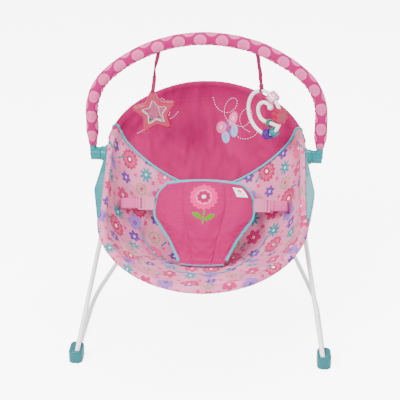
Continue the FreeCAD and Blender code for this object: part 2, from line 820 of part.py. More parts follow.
star_strap = collar(star_strap_x).fuse(ribbon(strap_top, star_eye, V(1, 0, 0), strap_width, webbing))
star_strap = star_strap.cut(sleeve_room(star_strap_x))
star = star.cut(ribbon(strap_top, star_eye, V(1, 0, 0), strap_width + 2 * toy_gap, webbing + 2 * toy_gap))
nodes["star_ring"] = star
nodes["star_strap"] = star_strap

# ---- ring toy ----------------------------------------------------------------------
yaw = math.radians(ring_yaw_deg)
ring_u = V(math.cos(yaw), -math.sin(yaw), 0)
ring_n = V(math.sin(yaw), math.cos(yaw), 0)
ring_centre = V(ring_x, 0, ring_z)


def ring_spot(u, v):
    return ring_centre + ring_u * u + V(0, 0, v)


def on_ring(degrees):
    angle = math.radians(degrees)
    return ring_spot(ring_radius * math.cos(angle), ring_radius * math.sin(angle))


def ring_tangent(degrees):
    angle = math.radians(degrees)
    return ring_u * (-math.sin(angle)) + V(0, 0, math.cos(angle))


def ring_bead(degrees, diameter, length):
    middle = on_ring(degrees)
    along = ring_tangent(degrees)
    start = middle - along * (length / 2)
    end = middle + along * (length / 2)
    body = rod(start, end, diameter)
    bend = length ** 2 / (8 * ring_radius)
    bore = rod(start - along, end + along, ring_d + 2 * bead_gap + bend)
    return body, bore, start, along


big_ring = Part.makeTorus(ring_radius, ring_d / 2, ring_centre, ring_n)
hook_low = ring_spot(hook_u, hook_v - hook_radius)
ring_low_u = math.sqrt(ring_radius ** 2 - (hook_v - hook_radius) ** 2)
hook_angle = math.radians(44)
hook_end = ring_spot(hook_u + hook_radius * math.cos(hook_angle), hook_v + hook_radius * math.sin(hook_angle))
hook_mid = ring_spot(hook_u + hook_radius * math.cos(math.radians(157)), hook_v + hook_radius * math.sin(math.radians(157)))
hook_edges = [
    Part.Arc(hook_end, hook_mid, hook_low).toShape(),
    Part.LineSegment(hook_low, ring_spot(ring_low_u, hook_v - hook_radius)).toShape(),
]
hook = pipe(hook_edges, ring_d)
nodes["c_ring"] = big_ring.fuse(hook).fuse(Part.makeSphere(hook_ball_d / 2, hook_end))

body, bore, start, along = ring_bead(pink_bead_deg, pink_bead_d, pink_bead_length)
flute_count = 10
for k in range(flute_count):
    angle = 2 * math.pi * k / flute_count
    radial = unit(along.cross(ring_n)) * math.cos(angle) + ring_n * math.sin(angle)
    groove = start + radial * (pink_bead_d / 2 + 0.6)
    body = body.cut(rod(groove - along, groove + along * (pink_bead_length + 1), 3.6))
nodes["pink_bead"] = body.cut(bore)

body, bore, start, along = ring_bead(teal_bead_deg, teal_bead_d, teal_bead_length)
body = body.makeFillet(4.0, body.Edges[0:1] + body.Edges[2:3])
nodes["teal_bead"] = body.cut(bore)

body, bore, start, along = ring_bead(purple_bead_deg, purple_bead_d, purple_bead_length)
for k in range(4):
    groove = start + along * (purple_bead_length * (k + 0.5) / 4)
    cutter = rod(groove - along * 0.9, groove + along * 0.9, purple_bead_d + 4)
    body = body.cut(cutter.cut(rod(groove - along, groove + along, purple_bead_d - 3)))
nodes["purple_bead"] = body.cut(bore)

wheel_mid = on_ring(wheel_deg)
wheel_back = wheel_mid - ring_u * (wheel_depth / 2)
petals = Part.makeCylinder(wheel_d / 2 - 4, wheel_depth, wheel_back, ring_u)
for k in range(8):
    angle = math.pi / 8 + math.pi * k / 4
    spot = wheel_back + ring_n * ((wheel_d / 2 - 5) * math.cos(angle)) + V(0, 0, (wheel_d / 2 - 5) * math.sin(angle))
    petals = petals.fuse(Part.makeCylinder(5.0, wheel_depth, spot, ring_u))
petals = petals.cut(Part.makeTorus(ring_radius, ring_d / 2 + toy_gap, ring_centre, ring_n))
wheel_face = wheel_mid + ring_u * (wheel_depth / 2)
recess = Part.makeCylinder(mirror_d / 2 + toy_gap, mirror_depth, wheel_face - ring_u * mirror_depth, ring_u)
nodes["flower_wheel"] = petals.cut(recess)
nodes["wheel_mirror"] = Part.makeCylinder(mirror_d / 2, mirror_depth * 0.6, wheel_face - ring_u * mirror_depth, ring_u)

for name, u in (("lime_ring", lime_u), ("aqua_ring", aqua_u)):
    start = ring_spot(u - thin_depth / 2, hook_v - hook_radius)
    end = ring_spot(u + thin_depth / 2, hook_v - hook_radius)
    disc = rod(start, end, thin_d)
    nodes[name] = disc.cut(rod(start, end, ring_d + 2 * bead_gap))

loop_mid = on_ring(loop_angle_deg)
loop_along = ring_tangent(loop_angle_deg)
loop_a = loop_mid - loop_along * (strap_width / 2)
loop_b = loop_mid + loop_along * (strap_width / 2)
loop_d = ring_d + 2 * collar_gap
loop = rod(loop_a, loop_b, loop_d + 2 * collar_wall).cut(rod(loop_a, loop_b, loop_d))
ring_bar_spot = bar_spot(ring_strap_x)
ring_hang = unit(loop_mid - ring_bar_spot)
ribbon_top = ring_bar_spot + ring_hang * (sleeve_d / 2 + collar_gap + collar_wall / 2)
ribbon_low = loop_mid - ring_hang * (loop_d / 2 + collar_wall / 2)
knot = rod(ribbon_low - ring_hang * 11, ribbon_low - ring_hang * 3, strap_width)
strap = ribbon(ribbon_top, ribbon_low, V(1, 0, 0), strap_width, webbing)
ring_strap = collar(ring_strap_x).fuse(strap).fuse(knot).fuse(loop)
nodes["ring_strap"] = ring_strap.cut(sleeve_room(ring_strap_x))

# ---- set over the origin and write ---------------------------------------------------
os.makedirs("parts", exist_ok=True)
front_reach = side_end.y - front_depth * math.cos(front_slope) - hem_d / 2
rear_reach = rear_y + boot_width / 2
shift = V(0, -(front_reach + rear_reach) / 2, 0)
for name, shape in nodes.items():
    placed = shape.copy()
    placed.translate(shift)
    placed.exportStep("parts/" + name + ".step")
print("nodes", len(nodes), "shift", round(shift.y, 4))
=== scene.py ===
import math

import bmesh
import bpy
import numpy as np
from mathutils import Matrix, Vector, noise
from mathutils.bvhtree import BVHTree


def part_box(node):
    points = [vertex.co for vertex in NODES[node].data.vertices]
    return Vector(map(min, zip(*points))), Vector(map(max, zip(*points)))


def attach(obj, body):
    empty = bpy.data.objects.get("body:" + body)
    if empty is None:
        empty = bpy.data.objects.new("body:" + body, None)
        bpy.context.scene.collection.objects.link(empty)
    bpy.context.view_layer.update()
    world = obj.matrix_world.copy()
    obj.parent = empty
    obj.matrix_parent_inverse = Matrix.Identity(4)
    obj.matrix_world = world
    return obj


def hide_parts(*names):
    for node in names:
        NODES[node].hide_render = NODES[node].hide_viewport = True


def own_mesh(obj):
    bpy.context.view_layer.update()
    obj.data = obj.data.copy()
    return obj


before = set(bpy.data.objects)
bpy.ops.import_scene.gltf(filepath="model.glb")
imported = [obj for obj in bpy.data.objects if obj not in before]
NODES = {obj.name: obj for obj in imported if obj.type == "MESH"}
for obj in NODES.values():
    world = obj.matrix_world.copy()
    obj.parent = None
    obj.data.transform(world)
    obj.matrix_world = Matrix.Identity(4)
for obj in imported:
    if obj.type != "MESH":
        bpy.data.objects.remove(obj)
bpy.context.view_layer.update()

MM = 0.001

# ---------------------------------------------------------------- the seat's sizes, in mm
bar_low, bar_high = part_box("toy_bar_core")
SY = (bar_low.y + bar_high.y) * 500.0
HUB_Z = 330.0
HALF = 207.0
SIDE_SLOPE = math.radians(30.0)
SIDE_LENGTH = 160.5
BACK_SLOPE = math.radians(38.0)
BACK_DEPTH = 178.0
BACK_RADIUS = 160.0
FRONT_SLOPE = math.radians(20.0)
FRONT_DEPTH = 196.0
FRONT_RADIUS = 185.0
END_Y = -SIDE_LENGTH * math.cos(SIDE_SLOPE)
END_Z = HUB_Z - SIDE_LENGTH * math.sin(SIDE_SLOPE)
SLING_RISE = 8.4
LOW_Y = -85.0
SEAM_CENTRE = 173.0
SEAM_SIDE = 242.0


def unit(v):
    v = np.asarray(v, float)
    return v / max(np.linalg.norm(v), 1e-12)


def ease(x, a, b):
    t = min(1.0, max(0.0, (x - a) / (b - a)))
    return t * t * (3 - 2 * t)


# ---------------------------------------------------------------- putting pieces in the scene
def place_object(name, data):
    made = bpy.data.objects.new(name, data)
    bpy.context.scene.collection.objects.link(made)
    return made


def shade_smooth(mesh):
    mesh.polygons.foreach_set("use_smooth", [True] * len(mesh.polygons))


def as_piece(name, verts, faces, material, uv=None):
    """A mesh piece from points in mm, with its place on the flat cloth if given."""
    mesh = bpy.data.meshes.new(name)
    mesh.from_pydata([tuple(c * MM for c in v) for v in verts], [], [tuple(f) for f in faces])
    if uv is not None:
        layer = mesh.uv_layers.new(name="cloth_map")
        loops = np.zeros(len(mesh.loops), np.int32)
        mesh.loops.foreach_get("vertex_index", loops)
        layer.data.foreach_set("uv", np.asarray(uv, np.float32)[loops].ravel())
    shade_smooth(mesh)
    mesh.update()
    mesh.materials.append(material)
    return place_object(name, mesh)


def settle(obj, body, stands_for=()):
    """The piece rides on one body of the frame, and the nodes it stands for are hidden."""
    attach(obj, body)
    if stands_for:
        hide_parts(*stands_for)


def bake_modifiers(obj):
    """The piece with its modifiers made part of its mesh."""
    graph = bpy.context.evaluated_depsgraph_get()
    mesh = bpy.data.meshes.new_from_object(obj.evaluated_get(graph))
    obj.modifiers.clear()
    old = obj.data
    obj.data = mesh
    bpy.data.meshes.remove(old)


def face_out(obj, weld=True):
    """Turns the faces outward, after joining points that meet if asked to."""
    bm = bmesh.new()
    bm.from_mesh(obj.data)
    if weld:
        bmesh.ops.remove_doubles(bm, verts=bm.verts, dist=0.00001)
    bmesh.ops.recalc_face_normals(bm, faces=bm.faces)
    bm.to_mesh(obj.data)
    bm.free()


def grid_faces(rows, cols, start=0, wrap=False):
    faces = []
    for i in range(rows - 1):
        for j in range(cols if wrap else cols - 1):
            k = (j + 1) % cols
            faces.append((start + i * cols + j, start + i * cols + k, start + (i + 1) * cols + k,
                start + (i + 1) * cols + j))
    return faces


def shell_faces(rows, cols):
    """Faces of two grids of points, one over the other, closed all round their edge."""
    size = rows * cols
    top = range(cols)
    right = range(2 * cols - 1, size, cols)
    bottom = range(size - 2, size - cols - 1, -1)
    left = range(size - 2 * cols, 0, -cols)
    ring = [*top, *right, *bottom, *left]
    faces = [f[::-1] for f in grid_faces(rows, cols)] + grid_faces(rows, cols, size)
    return faces + [(a, b, size + b, size + a) for a, b in zip(ring, ring[1:] + ring[:1])]


def sweep(path, profile, ups=None):
    """A profile of (side, up) points, or one for each point, carried along a path with closed ends."""
    path = np.asarray(path, float)
    last = len(path) - 1
    verts = []
    up = None
    for i, spot in enumerate(path):
        along = unit(path[min(i + 1, last)] - path[max(i - 1, 0)])
        if ups is not None:
            up = np.asarray(ups[i] if np.ndim(ups) > 1 else ups, float)
        elif up is None:
            up = np.array((0, 0, 1.0)) if abs(along[2]) < 0.9 else np.array((0, 1.0, 0))
        up = unit(up - along * np.dot(up, along))
        side = np.cross(along, up)
        shape = profile[i] if isinstance(profile[0], list) else profile
        verts += [spot + side * a + up * b for a, b in shape]
    size = len(verts)
    ring = size // len(path)
    faces = grid_faces(len(path), ring, wrap=True)
    return verts, faces + [tuple(range(ring - 1, -1, -1)), tuple(range(size - ring, size))]


def oval_arcs(half, depth, radius):
    """A half oval of three arcs: the side centres' offset, the end arc's radius and centre, and the angle
    where the arcs meet."""
    offset = half - radius
    top = (offset ** 2 + depth ** 2 - radius ** 2) / (2 * (depth - radius))
    centre = depth - top
    return offset, top, centre, math.atan2(-centre, offset)


def arch_path(half, depth, radius, leg, place, step):
    """Points along an arch of three arcs with straight legs, left to right."""
    offset, top, centre, joint = oval_arcs(half, depth, radius)
    count = max(2, int(leg / step))
    right = [(half, -leg + leg * k / count) for k in range(count)]
    count = int(radius * joint / step)
    for k in range(count):
        a = joint * k / count
        right.append((offset + radius * math.cos(a), radius * math.sin(a)))
    count = int(top * (math.pi / 2 - joint) / step)
    for k in range(count + 1):
        a = joint + (math.pi / 2 - joint) * k / count
        right.append((top * math.cos(a), centre + top * math.sin(a)))
    left = [(-u, v) for u, v in right]
    return [np.array(place(u, v)) for u, v in left + right[-2::-1]]


def even_out(line, times):
    """Averages the small kinks out of a line of points or directions; its ends stay."""
    for _ in range(times):
        line[1:-1] = (line[:-2] + 2 * line[1:-1] + line[2:]) / 4


def distances(points):
    """The distance to each point along a line, or along each row of a grid."""
    steps = np.linalg.norm(np.diff(points, axis=-2), axis=-1)
    return np.insert(np.cumsum(steps, axis=-1), 0, 0.0, axis=-1)


def distance_from(line, points):
    """How far the points of a grid are from a line, measured to every third of its points."""
    return np.min([np.linalg.norm(points - spot, axis=-1) for spot in line[::3]], axis=0)


# ---------------------------------------------------------------- materials
def colour(text):
    """A display colour such as E0458F as the linear values that shaders use."""
    parts = [int(text[i:i + 2], 16) / 255 for i in (0, 2, 4)]
    return tuple(p / 12.92 if p <= 0.04045 else ((p + 0.055) / 1.055) ** 2.4 for p in parts) + (1.0,)


class Value:
    """A node's output that takes part in sums, as a number does."""

    def __init__(self, web, socket):
        self.web, self.socket = web, socket

    def __abs__(self):
        return self.web.math("ABSOLUTE", self)


for _sign, _operation in (("add", "ADD"), ("sub", "SUBTRACT"), ("mul", "MULTIPLY"), ("truediv", "DIVIDE")):
    setattr(Value, f"__{_sign}__", lambda self, other, op=_operation: self.web.math(op, self, other))
    setattr(Value, f"__r{_sign}__", lambda self, other, op=_operation: self.web.math(op, other, self))


class Web:
    """Short calls that add shader nodes to one tree and join them."""

    def __init__(self, tree):
        self.tree = tree

    def put(self, socket, value):
        if value is None:
            return
        if isinstance(value, bpy.types.Node):
            value = value.outputs[0]
        if isinstance(value, Value):
            value = value.socket
        if isinstance(value, bpy.types.NodeSocket):
            self.tree.links.new(value, socket)
        elif isinstance(value, str):
            socket.default_value = colour(value)
        else:
            socket.default_value = value

    def add(self, kind, *inputs, settings=None, **named):
        node = self.tree.nodes.new(kind)
        for key, value in (settings or {}).items():
            setattr(node, key, value)
        for i, value in enumerate(inputs):
            self.put(node.inputs[i], value)
        self.fill(node, **named)
        return node

    def fill(self, node, **named):
        for key, value in named.items():
            self.put(node.inputs[key.replace("_", " ")], value)

    def dress(self, **named):
        """Sets or joins inputs of the material's own shader."""
        self.fill(self.shader, **named)

    def math(self, op, a, b=None, c=None):
        return Value(self, self.add("ShaderNodeMath", a, b, c, settings={"operation": op}).outputs[0])

    def either(self, a, b):
        return self.math("MAXIMUM", a, b)

    def vmath(self, op, a, b=None):
        node = self.add("ShaderNodeVectorMath", a, settings={"operation": op})
        if b is not None:
            self.put(node.inputs["Scale"] if op == "SCALE" else node.inputs[1], b)
        return Value(self, node.outputs["Value" if op == "LENGTH" else "Vector"])

    def step(self, value, low, high):
        """A soft step from 0 to 1 as value goes from low to high."""
        node = self.add("ShaderNodeMapRange", value, low, high, 0.0, 1.0,
            settings={"interpolation_type": "SMOOTHSTEP"})
        return Value(self, node.outputs[0])

    def mix(self, factor, a, b, blend="MIX"):
        node = self.add("ShaderNodeMix", settings={"data_type": "RGBA", "blend_type": blend, "clamp_factor": True})
        self.put(node.inputs[0], factor)
        self.put(node.inputs[6], a)
        self.put(node.inputs[7], b)
        return node.outputs[2]

    def coats(self, shown, *layers):
        """Colours laid in turn over the one shown, each through its mask."""
        for mask, tint in layers:
            shown = self.mix(mask, shown, tint)
        return shown

    def noise(self, vector, scale, detail=2.0, rough=0.5):
        return Value(self, self.add("ShaderNodeTexNoise", Vector=vector, Scale=scale, Detail=detail,
            Roughness=rough).outputs["Fac"])

    def bump(self, height, strength, distance, normal=None):
        return self.add("ShaderNodeBump", Height=height, Strength=strength, Distance=distance,
            Normal=normal).outputs[0]

    def place(self):
        """The point in the piece's own space, in mm."""
        return self.vmath("SCALE", self.add("ShaderNodeTexCoord").outputs["Object"], 1000.0)

    def map(self):
        """The cloth's own flat place, in mm."""
        return self.add("ShaderNodeUVMap", settings={"uv_map": "cloth_map"}).outputs[0]

    def split(self, vector):
        return [Value(self, part) for part in self.add("ShaderNodeSeparateXYZ", vector).outputs]

    def join(self, x, y, z=0.0):
        return self.add("ShaderNodeCombineXYZ", x, y, z).outputs[0]

    def use(self, group, **named):
        node = self.tree.nodes.new("ShaderNodeGroup")
        node.node_tree = group
        self.fill(node, **named)
        return {part.name: Value(self, part) for part in node.outputs}


def new_material(name, base=None, rough=None, **named):
    """A material with one Principled shader; returns the material and its web."""
    made = bpy.data.materials.new(name)
    made.use_nodes = True
    web = Web(made.node_tree)
    web.shader = next(n for n in made.node_tree.nodes if n.type == "BSDF_PRINCIPLED")
    web.dress(Base_Color=base, Roughness=rough, **named)
    if base is not None and isinstance(base, str):
        made.diffuse_color = colour(base)
    return made, web


def new_group(name, inputs, outputs):
    """A shader node group; returns it, its web, its inputs and its output node."""
    tree = bpy.data.node_groups.new(name, "ShaderNodeTree")
    for label, kind, value in inputs:
        socket = tree.interface.new_socket(name=label, in_out="INPUT", socket_type="NodeSocket" + kind)
        if value is not None:
            socket.default_value = value
    for label, kind in outputs:
        tree.interface.new_socket(name=label, in_out="OUTPUT", socket_type="NodeSocket" + kind)
    web = Web(tree)
    given = {part.name: Value(web, part) for part in tree.nodes.new("NodeGroupInput").outputs}
    return tree, web, given, tree.nodes.new("NodeGroupOutput").inputs


FULL_TURN = 6.28318


def weave_group():
    """Cloth close up: crossed threads with slubs; gives a height and a painted shade around 1, darker where the
    threads lie low.
    """
    tree, w, given, out = new_group(
        "weave",
        [("Place", "Vector", None), ("Thread", "Float", 0.9)],
        [("Height", "Float"), ("Shade", "Float")],
    )
    x, y, _ = w.split(given["Place"])
    pitch = FULL_TURN / given["Thread"]
    across = w.math("SINE", x * pitch)
    along = w.math("SINE", y * pitch)
    crossing = across * along
    slub = w.noise(w.vmath("MULTIPLY", given["Place"], (0.05, 0.9, 0.3)), 1.0, 3.0, 0.6)
    slub2 = w.noise(w.vmath("MULTIPLY", given["Place"], (0.9, 0.05, 0.3)), 1.0, 3.0, 0.6)
    height = crossing * 0.35 + (slub + slub2)
    w.put(out["Height"], height)
    # painted shade: the colour is darker where the weave is low
    w.put(out["Shade"], height * 0.09 + 0.91)
    return tree


def wear_group():
    """Slight unevenness of a moulded or painted surface: a fine grain height, blotches and faint scuffs."""
    tree, w, given, out = new_group(
        "surface_wear",
        [("Place", "Vector", None)],
        [("Grain", "Float"), ("Blotch", "Float"), ("Scuff", "Float")],
    )
    w.put(out["Grain"], w.noise(given["Place"], 1.6, 2.0, 0.5))
    w.put(out["Blotch"], w.noise(given["Place"], 0.035, 3.0, 0.55))
    streak = w.noise(w.vmath("MULTIPLY", given["Place"], (0.09, 1.4, 0.5)), 1.0, 4.0, 0.7)
    w.put(out["Scuff"], w.step(streak, 0.66, 0.78))
    return tree


WEAVE = weave_group()
WEAR = wear_group()


def moulded(name, base, rough=0.28, grain=0.05, coat=0.25, glow=0.06, dark=0.9):
    """Smooth moulded plastic with a faint grain, soft colour drift and a few scuffs."""
    made, w = new_material(name, base, rough, Specular_IOR_Level=0.32, Coat_Weight=coat * 0.4, Coat_Roughness=0.1,
        Subsurface_Weight=glow, Subsurface_Scale=0.004)
    fine = w.use(WEAR, Place=w.place())
    shaded = tuple(c * dark for c in colour(base)[:3]) + (1.0,)
    w.dress(Base_Color=w.mix(w.step(fine["Blotch"], 0.35, 0.7), shaded, base))
    w.dress(Roughness=fine["Scuff"] * 0.14 + (rough - 0.04 + fine["Blotch"] * 0.09))
    w.dress(Normal=w.bump(fine["Grain"], 0.25, grain * MM))
    return made


# ---------------------------------------------------------------- wires, tubes, feet and brackets
def powder_coat():
    made, w = new_material("frame_paint", "E6E6EC", 0.3, Coat_Weight=0.35, Coat_Roughness=0.18)
    fine = w.use(WEAR, Place=w.place())
    w.dress(Base_Color=w.mix(w.step(fine["Blotch"], 0.3, 0.75), "E1E1EC", "ECECEC"))
    peel = w.noise(w.place(), 0.55, 2.0, 0.4)
    w.dress(Roughness=0.24 + fine["Scuff"] * 0.2)
    w.dress(Normal=w.bump(peel + fine["Grain"] * 0.3, 0.3, 0.12 * MM))
    return made


def soft_rubber():
    made, w = new_material("boot_rubber", "C6CAD6", 0.62, Subsurface_Weight=0.05, Subsurface_Scale=0.003)
    fine = w.use(WEAR, Place=w.place())
    w.dress(Base_Color=w.mix(fine["Blotch"], "A8ABB9", "DDE1EB"))
    w.dress(Normal=w.bump(fine["Grain"] + w.noise(w.place(), 3.5, 1.0), 0.35, 0.14 * MM))
    return made


def plated_steel():
    made, w = new_material("steel_bright", "BBBFC7", 0.24, Metallic=1.0)
    turned = w.noise(w.vmath("MULTIPLY", w.place(), (0.2, 6.0, 6.0)), 1.0, 2.0)
    w.dress(Roughness=0.16 + turned * 0.22, Base_Color=w.mix(turned, "8F939D", "E2E5EC"))
    w.dress(Normal=w.bump(turned, 0.2, 0.05 * MM))
    return made


PAINT = powder_coat()
RUBBER = soft_rubber()
STEEL = plated_steel()
TEAL = moulded("teal_plastic", "0B747B", 0.22, 0.05, 0.3, 0.0)
FOOT_TEAL = moulded("foot_teal", "0B6268", 0.3, 0.06, 0.15, 0.0)


def moulded_copy(node, name, body, material, voxel, relax):
    """A CAD solid's shape with its edges rounded as a mould rounds them."""
    source = NODES[node]
    obj = place_object(name, source.data.copy())
    obj.data.materials.clear()
    remesh = obj.modifiers.new("round", "REMESH")
    remesh.mode = "VOXEL"
    remesh.voxel_size = voxel * MM
    remesh.adaptivity = 0.0
    smooth = obj.modifiers.new("relax", "SMOOTH")
    smooth.factor = 0.5
    smooth.iterations = relax
    thin = obj.modifiers.new("thin", "DECIMATE")
    thin.ratio = 0.45
    bake_modifiers(obj)
    obj.data.materials.append(material)
    shade_smooth(obj.data)
    settle(obj, body, (node,))


def finish_node(name, material):
    """A CAD node that shows as it is, with its better material."""
    NODES[name].data.materials.clear()
    NODES[name].data.materials.append(material)


for side in ("left", "right"):
    moulded_copy(f"front_foot_{side}", f"foot_cap_{side}", "base", FOOT_TEAL, 0.8, 8)
    moulded_copy(f"rear_boot_{side}", f"rear_rubber_{side}", "base", RUBBER, 0.8, 8)
    moulded_copy(f"bracket_outer_shell_{side}", f"bracket_cover_{side}", "seat", TEAL, 1.0, 5)
    moulded_copy(f"bracket_inner_shell_{side}", f"bracket_back_{side}", "seat", TEAL, 1.0, 5)
    moulded_copy(f"toy_bar_end_{side}", f"hub_{side}", "toy_bar", TEAL, 0.55, 4)
    finish_node(f"bracket_screws_{side}", STEEL)
    finish_node(f"pivot_pin_{side}", STEEL)
for name in ("base_wire_left", "base_wire_right", "rear_base_tube", "leg_wire_left", "leg_wire_right",
        "upper_seat_tube", "lower_seat_tube"):
    finish_node(name, PAINT)
finish_node("toy_bar_core", PAINT)


# ---------------------------------------------------------------- prints
def petal_group():
    """How far a place is from the nearest of a ring of oval petals; 1 on a petal's edge."""
    tree, w, given, out = new_group(
        "petal_ring",
        [("Place", "Vector", None), ("Count", "Float", 6.0), ("Reach", "Float", 8.0), ("Long", "Float", 5.0),
        ("Wide", "Float", 3.0), ("Turn", "Float", 0.0)],
        [("Edge", "Float"), ("Radius", "Float")],
    )
    x, y, _ = w.split(given["Place"])
    half = FULL_TURN / 2 / given["Count"]
    angle = w.math("WRAP", w.math("ARCTAN2", y, x) + given["Turn"], half, half * -1.0)
    flat = w.join(x, y)
    radius = w.vmath("LENGTH", flat)
    along = (radius * w.math("COSINE", angle) - given["Reach"]) / given["Long"]
    across = radius * w.math("SINE", angle) / given["Wide"]
    w.put(out["Edge"], w.vmath("LENGTH", w.join(along, across)))
    w.put(out["Radius"], radius)
    return tree


PETALS = petal_group()


def below(w, value, limit, soft):
    return w.step(value, limit + soft, limit - soft)


def line_at(w, value, middle, half, soft):
    return below(w, abs(value - middle), half, soft)


def nearest(w, place, centres, tile):
    """The place seen from the nearest of several repeated centres."""
    best = None
    size = None
    for x, y in centres:
        moved = w.vmath("SUBTRACT", place, (x, y, 0))
        wrapped = w.add("ShaderNodeVectorMath", moved, (tile[0] / 2, tile[1] / 2, 1e6),
            (-tile[0] / 2, -tile[1] / 2, -1e6), settings={"operation": "WRAP"}).outputs[0]
        length = w.vmath("LENGTH", wrapped)
        if best is None:
            best, size = wrapped, length
            continue
        closer = w.math("LESS_THAN", length, size)
        pick = w.add("ShaderNodeMix", settings={"data_type": "VECTOR"})
        w.put(pick.inputs[0], closer)
        w.put(pick.inputs[4], best)
        w.put(pick.inputs[5], wrapped)
        best = pick.outputs[1]
        size = w.math("MINIMUM", length, size)
    return best


TILE = (168.0, 160.0)
FLOWERS = [
    # kind, petals, reach, long, wide, turn, petal colour, centre colour, centre radius, places
    ("zinnia", 13, 14.0, 5.8, 3.9, 0.1, "AF0B55", "ECECEC", 3.0, [(20, 21), (147, 101)]),
    ("zinnia", 12, 12.6, 5.2, 3.8, 0.0, "D6337D", "ECE4E7", 2.8, [(64, 98)]),
    ("plain", 6, 9.4, 6.8, 5.0, 0.3, "B50B5F", "ECBACA", 3.4, [(147, 19), (59, 58), (104, 144)]),
    ("plain", 6, 7.0, 5.0, 3.6, 0.0, "592282", "DBBFEB", 2.6, [(62, 15), (147, 61), (106, 101), (22, 119)]),
    ("plain", 5, 9.4, 7.6, 6.8, 0.5, "9163AE", "592282", 4.0, [(103, 60), (19, 149)]),
    ("plain", 8, 8.2, 6.2, 2.5, 0.2, "0B7480", "C8EBEC", 2.5, [(105, 21), (22, 89), (147, 140)]),
    ("outline", 10, 8.4, 3.5, 2.9, 0.0, "5A8D0B", "BB0B66", 3.0, [(18, 58), (63, 138)]),
]


def floral_print(w, place, ground):
    shown = ground
    tiny = nearest(w, place, [(41, 39)], (42.0, 40.0))
    bits = w.use(PETALS, Place=tiny, Count=4.0, Reach=2.5, Long=2.4, Wide=1.7, Turn=0.6)
    shown = w.mix(below(w, bits["Edge"], 1.0, 0.12), shown, "D00B70")
    for kind, count, reach, long, wide, turn, petal, heart, size, places in FLOWERS:
        here = nearest(w, place, places, TILE)
        ring = w.use(PETALS, Place=here, Count=float(count), Reach=reach, Long=long, Wide=wide, Turn=turn)
        edge, radius = ring["Edge"], ring["Radius"]
        mask = below(w, edge, 1.0, 0.07)
        if kind == "zinnia":
            mask = w.either(mask, below(w, radius, reach + 0.5, 0.4))
            shown = w.mix(mask, shown, petal)
            inner = w.use(PETALS, Place=here, Count=float(count - 4), Reach=reach * 0.47, Long=reach * 0.3,
                Wide=reach * 0.19, Turn=0.4)
            pale = w.either(line_at(w, inner["Edge"], 1.0, 0.13, 0.08), line_at(w, radius, reach * 0.92, 0.35, 0.3))
            veins = line_at(w, edge, 1.0, 0.05, 0.06) * 0.7
            shown = w.mix(w.either(pale, veins), shown, "D17595")
        elif kind == "outline":
            outer = line_at(w, edge, 1.0, 0.24, 0.1) * w.step(radius, reach - 0.6, reach + 0.2)
            shown = w.mix(w.either(outer, line_at(w, radius, reach * 0.62, 0.45, 0.3)), shown, petal)
        else:
            shown = w.mix(mask, shown, petal)
            lines = line_at(w, edge, 0.5, 0.03, 0.06) * 0.35
            shown = w.mix(lines, shown, heart)
        shown = w.mix(below(w, radius, size, 0.35), shown, heart)
        if kind == "plain":
            shown = w.mix(below(w, radius, size * 0.42, 0.3), shown, petal)
    for x, y, turn in ((40, 31, 0.6), (126, 92, 2.4), (85, 88, 0.9), (83, 131, 2.2)):
        leaf = w.use(PETALS, Place=nearest(w, place, [(x, y)], TILE), Count=2.0, Reach=4.6, Long=4.8, Wide=2.0,
            Turn=turn)
        shown = w.mix(below(w, leaf["Edge"], 1.0, 0.09), shown, "0B747B")
    return shown


def cloth(name, base, dark, paint=None, thread=0.95, sheen=0.12, rough=0.82, bumpy=0.16, fold=0.0):
    """Woven cloth; paint turns its colour into a print, and fold is the size in mm of its soft creases, which are
    bumped and also darkened with painted shade along their lines.
    """
    made, w = new_material(name, base, rough, Specular_IOR_Level=0.12, Sheen_Weight=sheen, Sheen_Roughness=0.45)
    place = w.map()
    ground = w.mix(w.step(w.noise(place, 0.02, 3.0), 0.3, 0.7), dark, base)
    shown = paint(w, place, ground) if paint else ground
    threads = w.use(WEAVE, Place=place, Thread=thread)
    shade, lie = threads["Shade"], None
    if fold:
        wave = w.noise(w.vmath("MULTIPLY", place, (1.0, 0.5, 1.0)), 1 / fold, 1.5, 0.4)
        ridge = w.step(abs(wave - 0.5), 0.0, 0.13)
        # painted shade: the cloth's colour is darkened along the crease lines
        shade = shade * (0.88 + ridge * 0.12)
        lie = w.bump(ridge, 0.6, 0.085 * fold * MM)
    w.dress(Base_Color=w.mix(1.0, shown, w.join(shade, shade, shade), "MULTIPLY"))
    fuzz = w.noise(place, 0.25, 4.0, 0.6)
    w.dress(Roughness=rough - 0.08 + fuzz * 0.16)
    w.dress(Normal=w.bump(threads["Height"] + fuzz * 0.8, 0.5, bumpy * MM, lie))
    return made


def head_print(w, place, ground):
    """A plain panel with a generic butterfly: pale wings, dusty blue lower wings and a slim body."""
    shown = ground
    moved = w.vmath("SUBTRACT", place, (58.0, 206.0, 0.0))
    x, y, _ = w.split(moved)
    turned = w.join(x * 0.94 + y * 0.34, y * 0.94 - x * 0.34)
    tx, ty, _ = w.split(turned)
    side = abs(tx)

    def oval(cx, cy, rx, ry, lean=0.0):
        a = side - cx
        b = ty - cy
        p = a + b * lean
        q = b - a * lean
        return w.vmath("LENGTH", w.join(p / rx, q / ry))

    low = oval(12.5, -13.0, 10.5, 13.0, -0.35)
    shown = w.coats(shown, (below(w, low, 1.0, 0.04), "7C90B5"), (line_at(w, low, 0.62, 0.03, 0.04), "B1C2E2"))
    high = oval(17.0, 9.0, 16.0, 12.5, 0.45)
    shown = w.coats(shown, (below(w, high, 1.0, 0.035), "CC5588"), (line_at(w, high, 0.68, 0.025, 0.03), "E395B0"),
        (below(w, oval(18.0, 10.0, 5.0, 4.0), 1.0, 0.1), "E395B0"),
        (below(w, oval(0.0, 0.0, 2.3, 17.0), 1.0, 0.1), "664C9C"))
    return shown


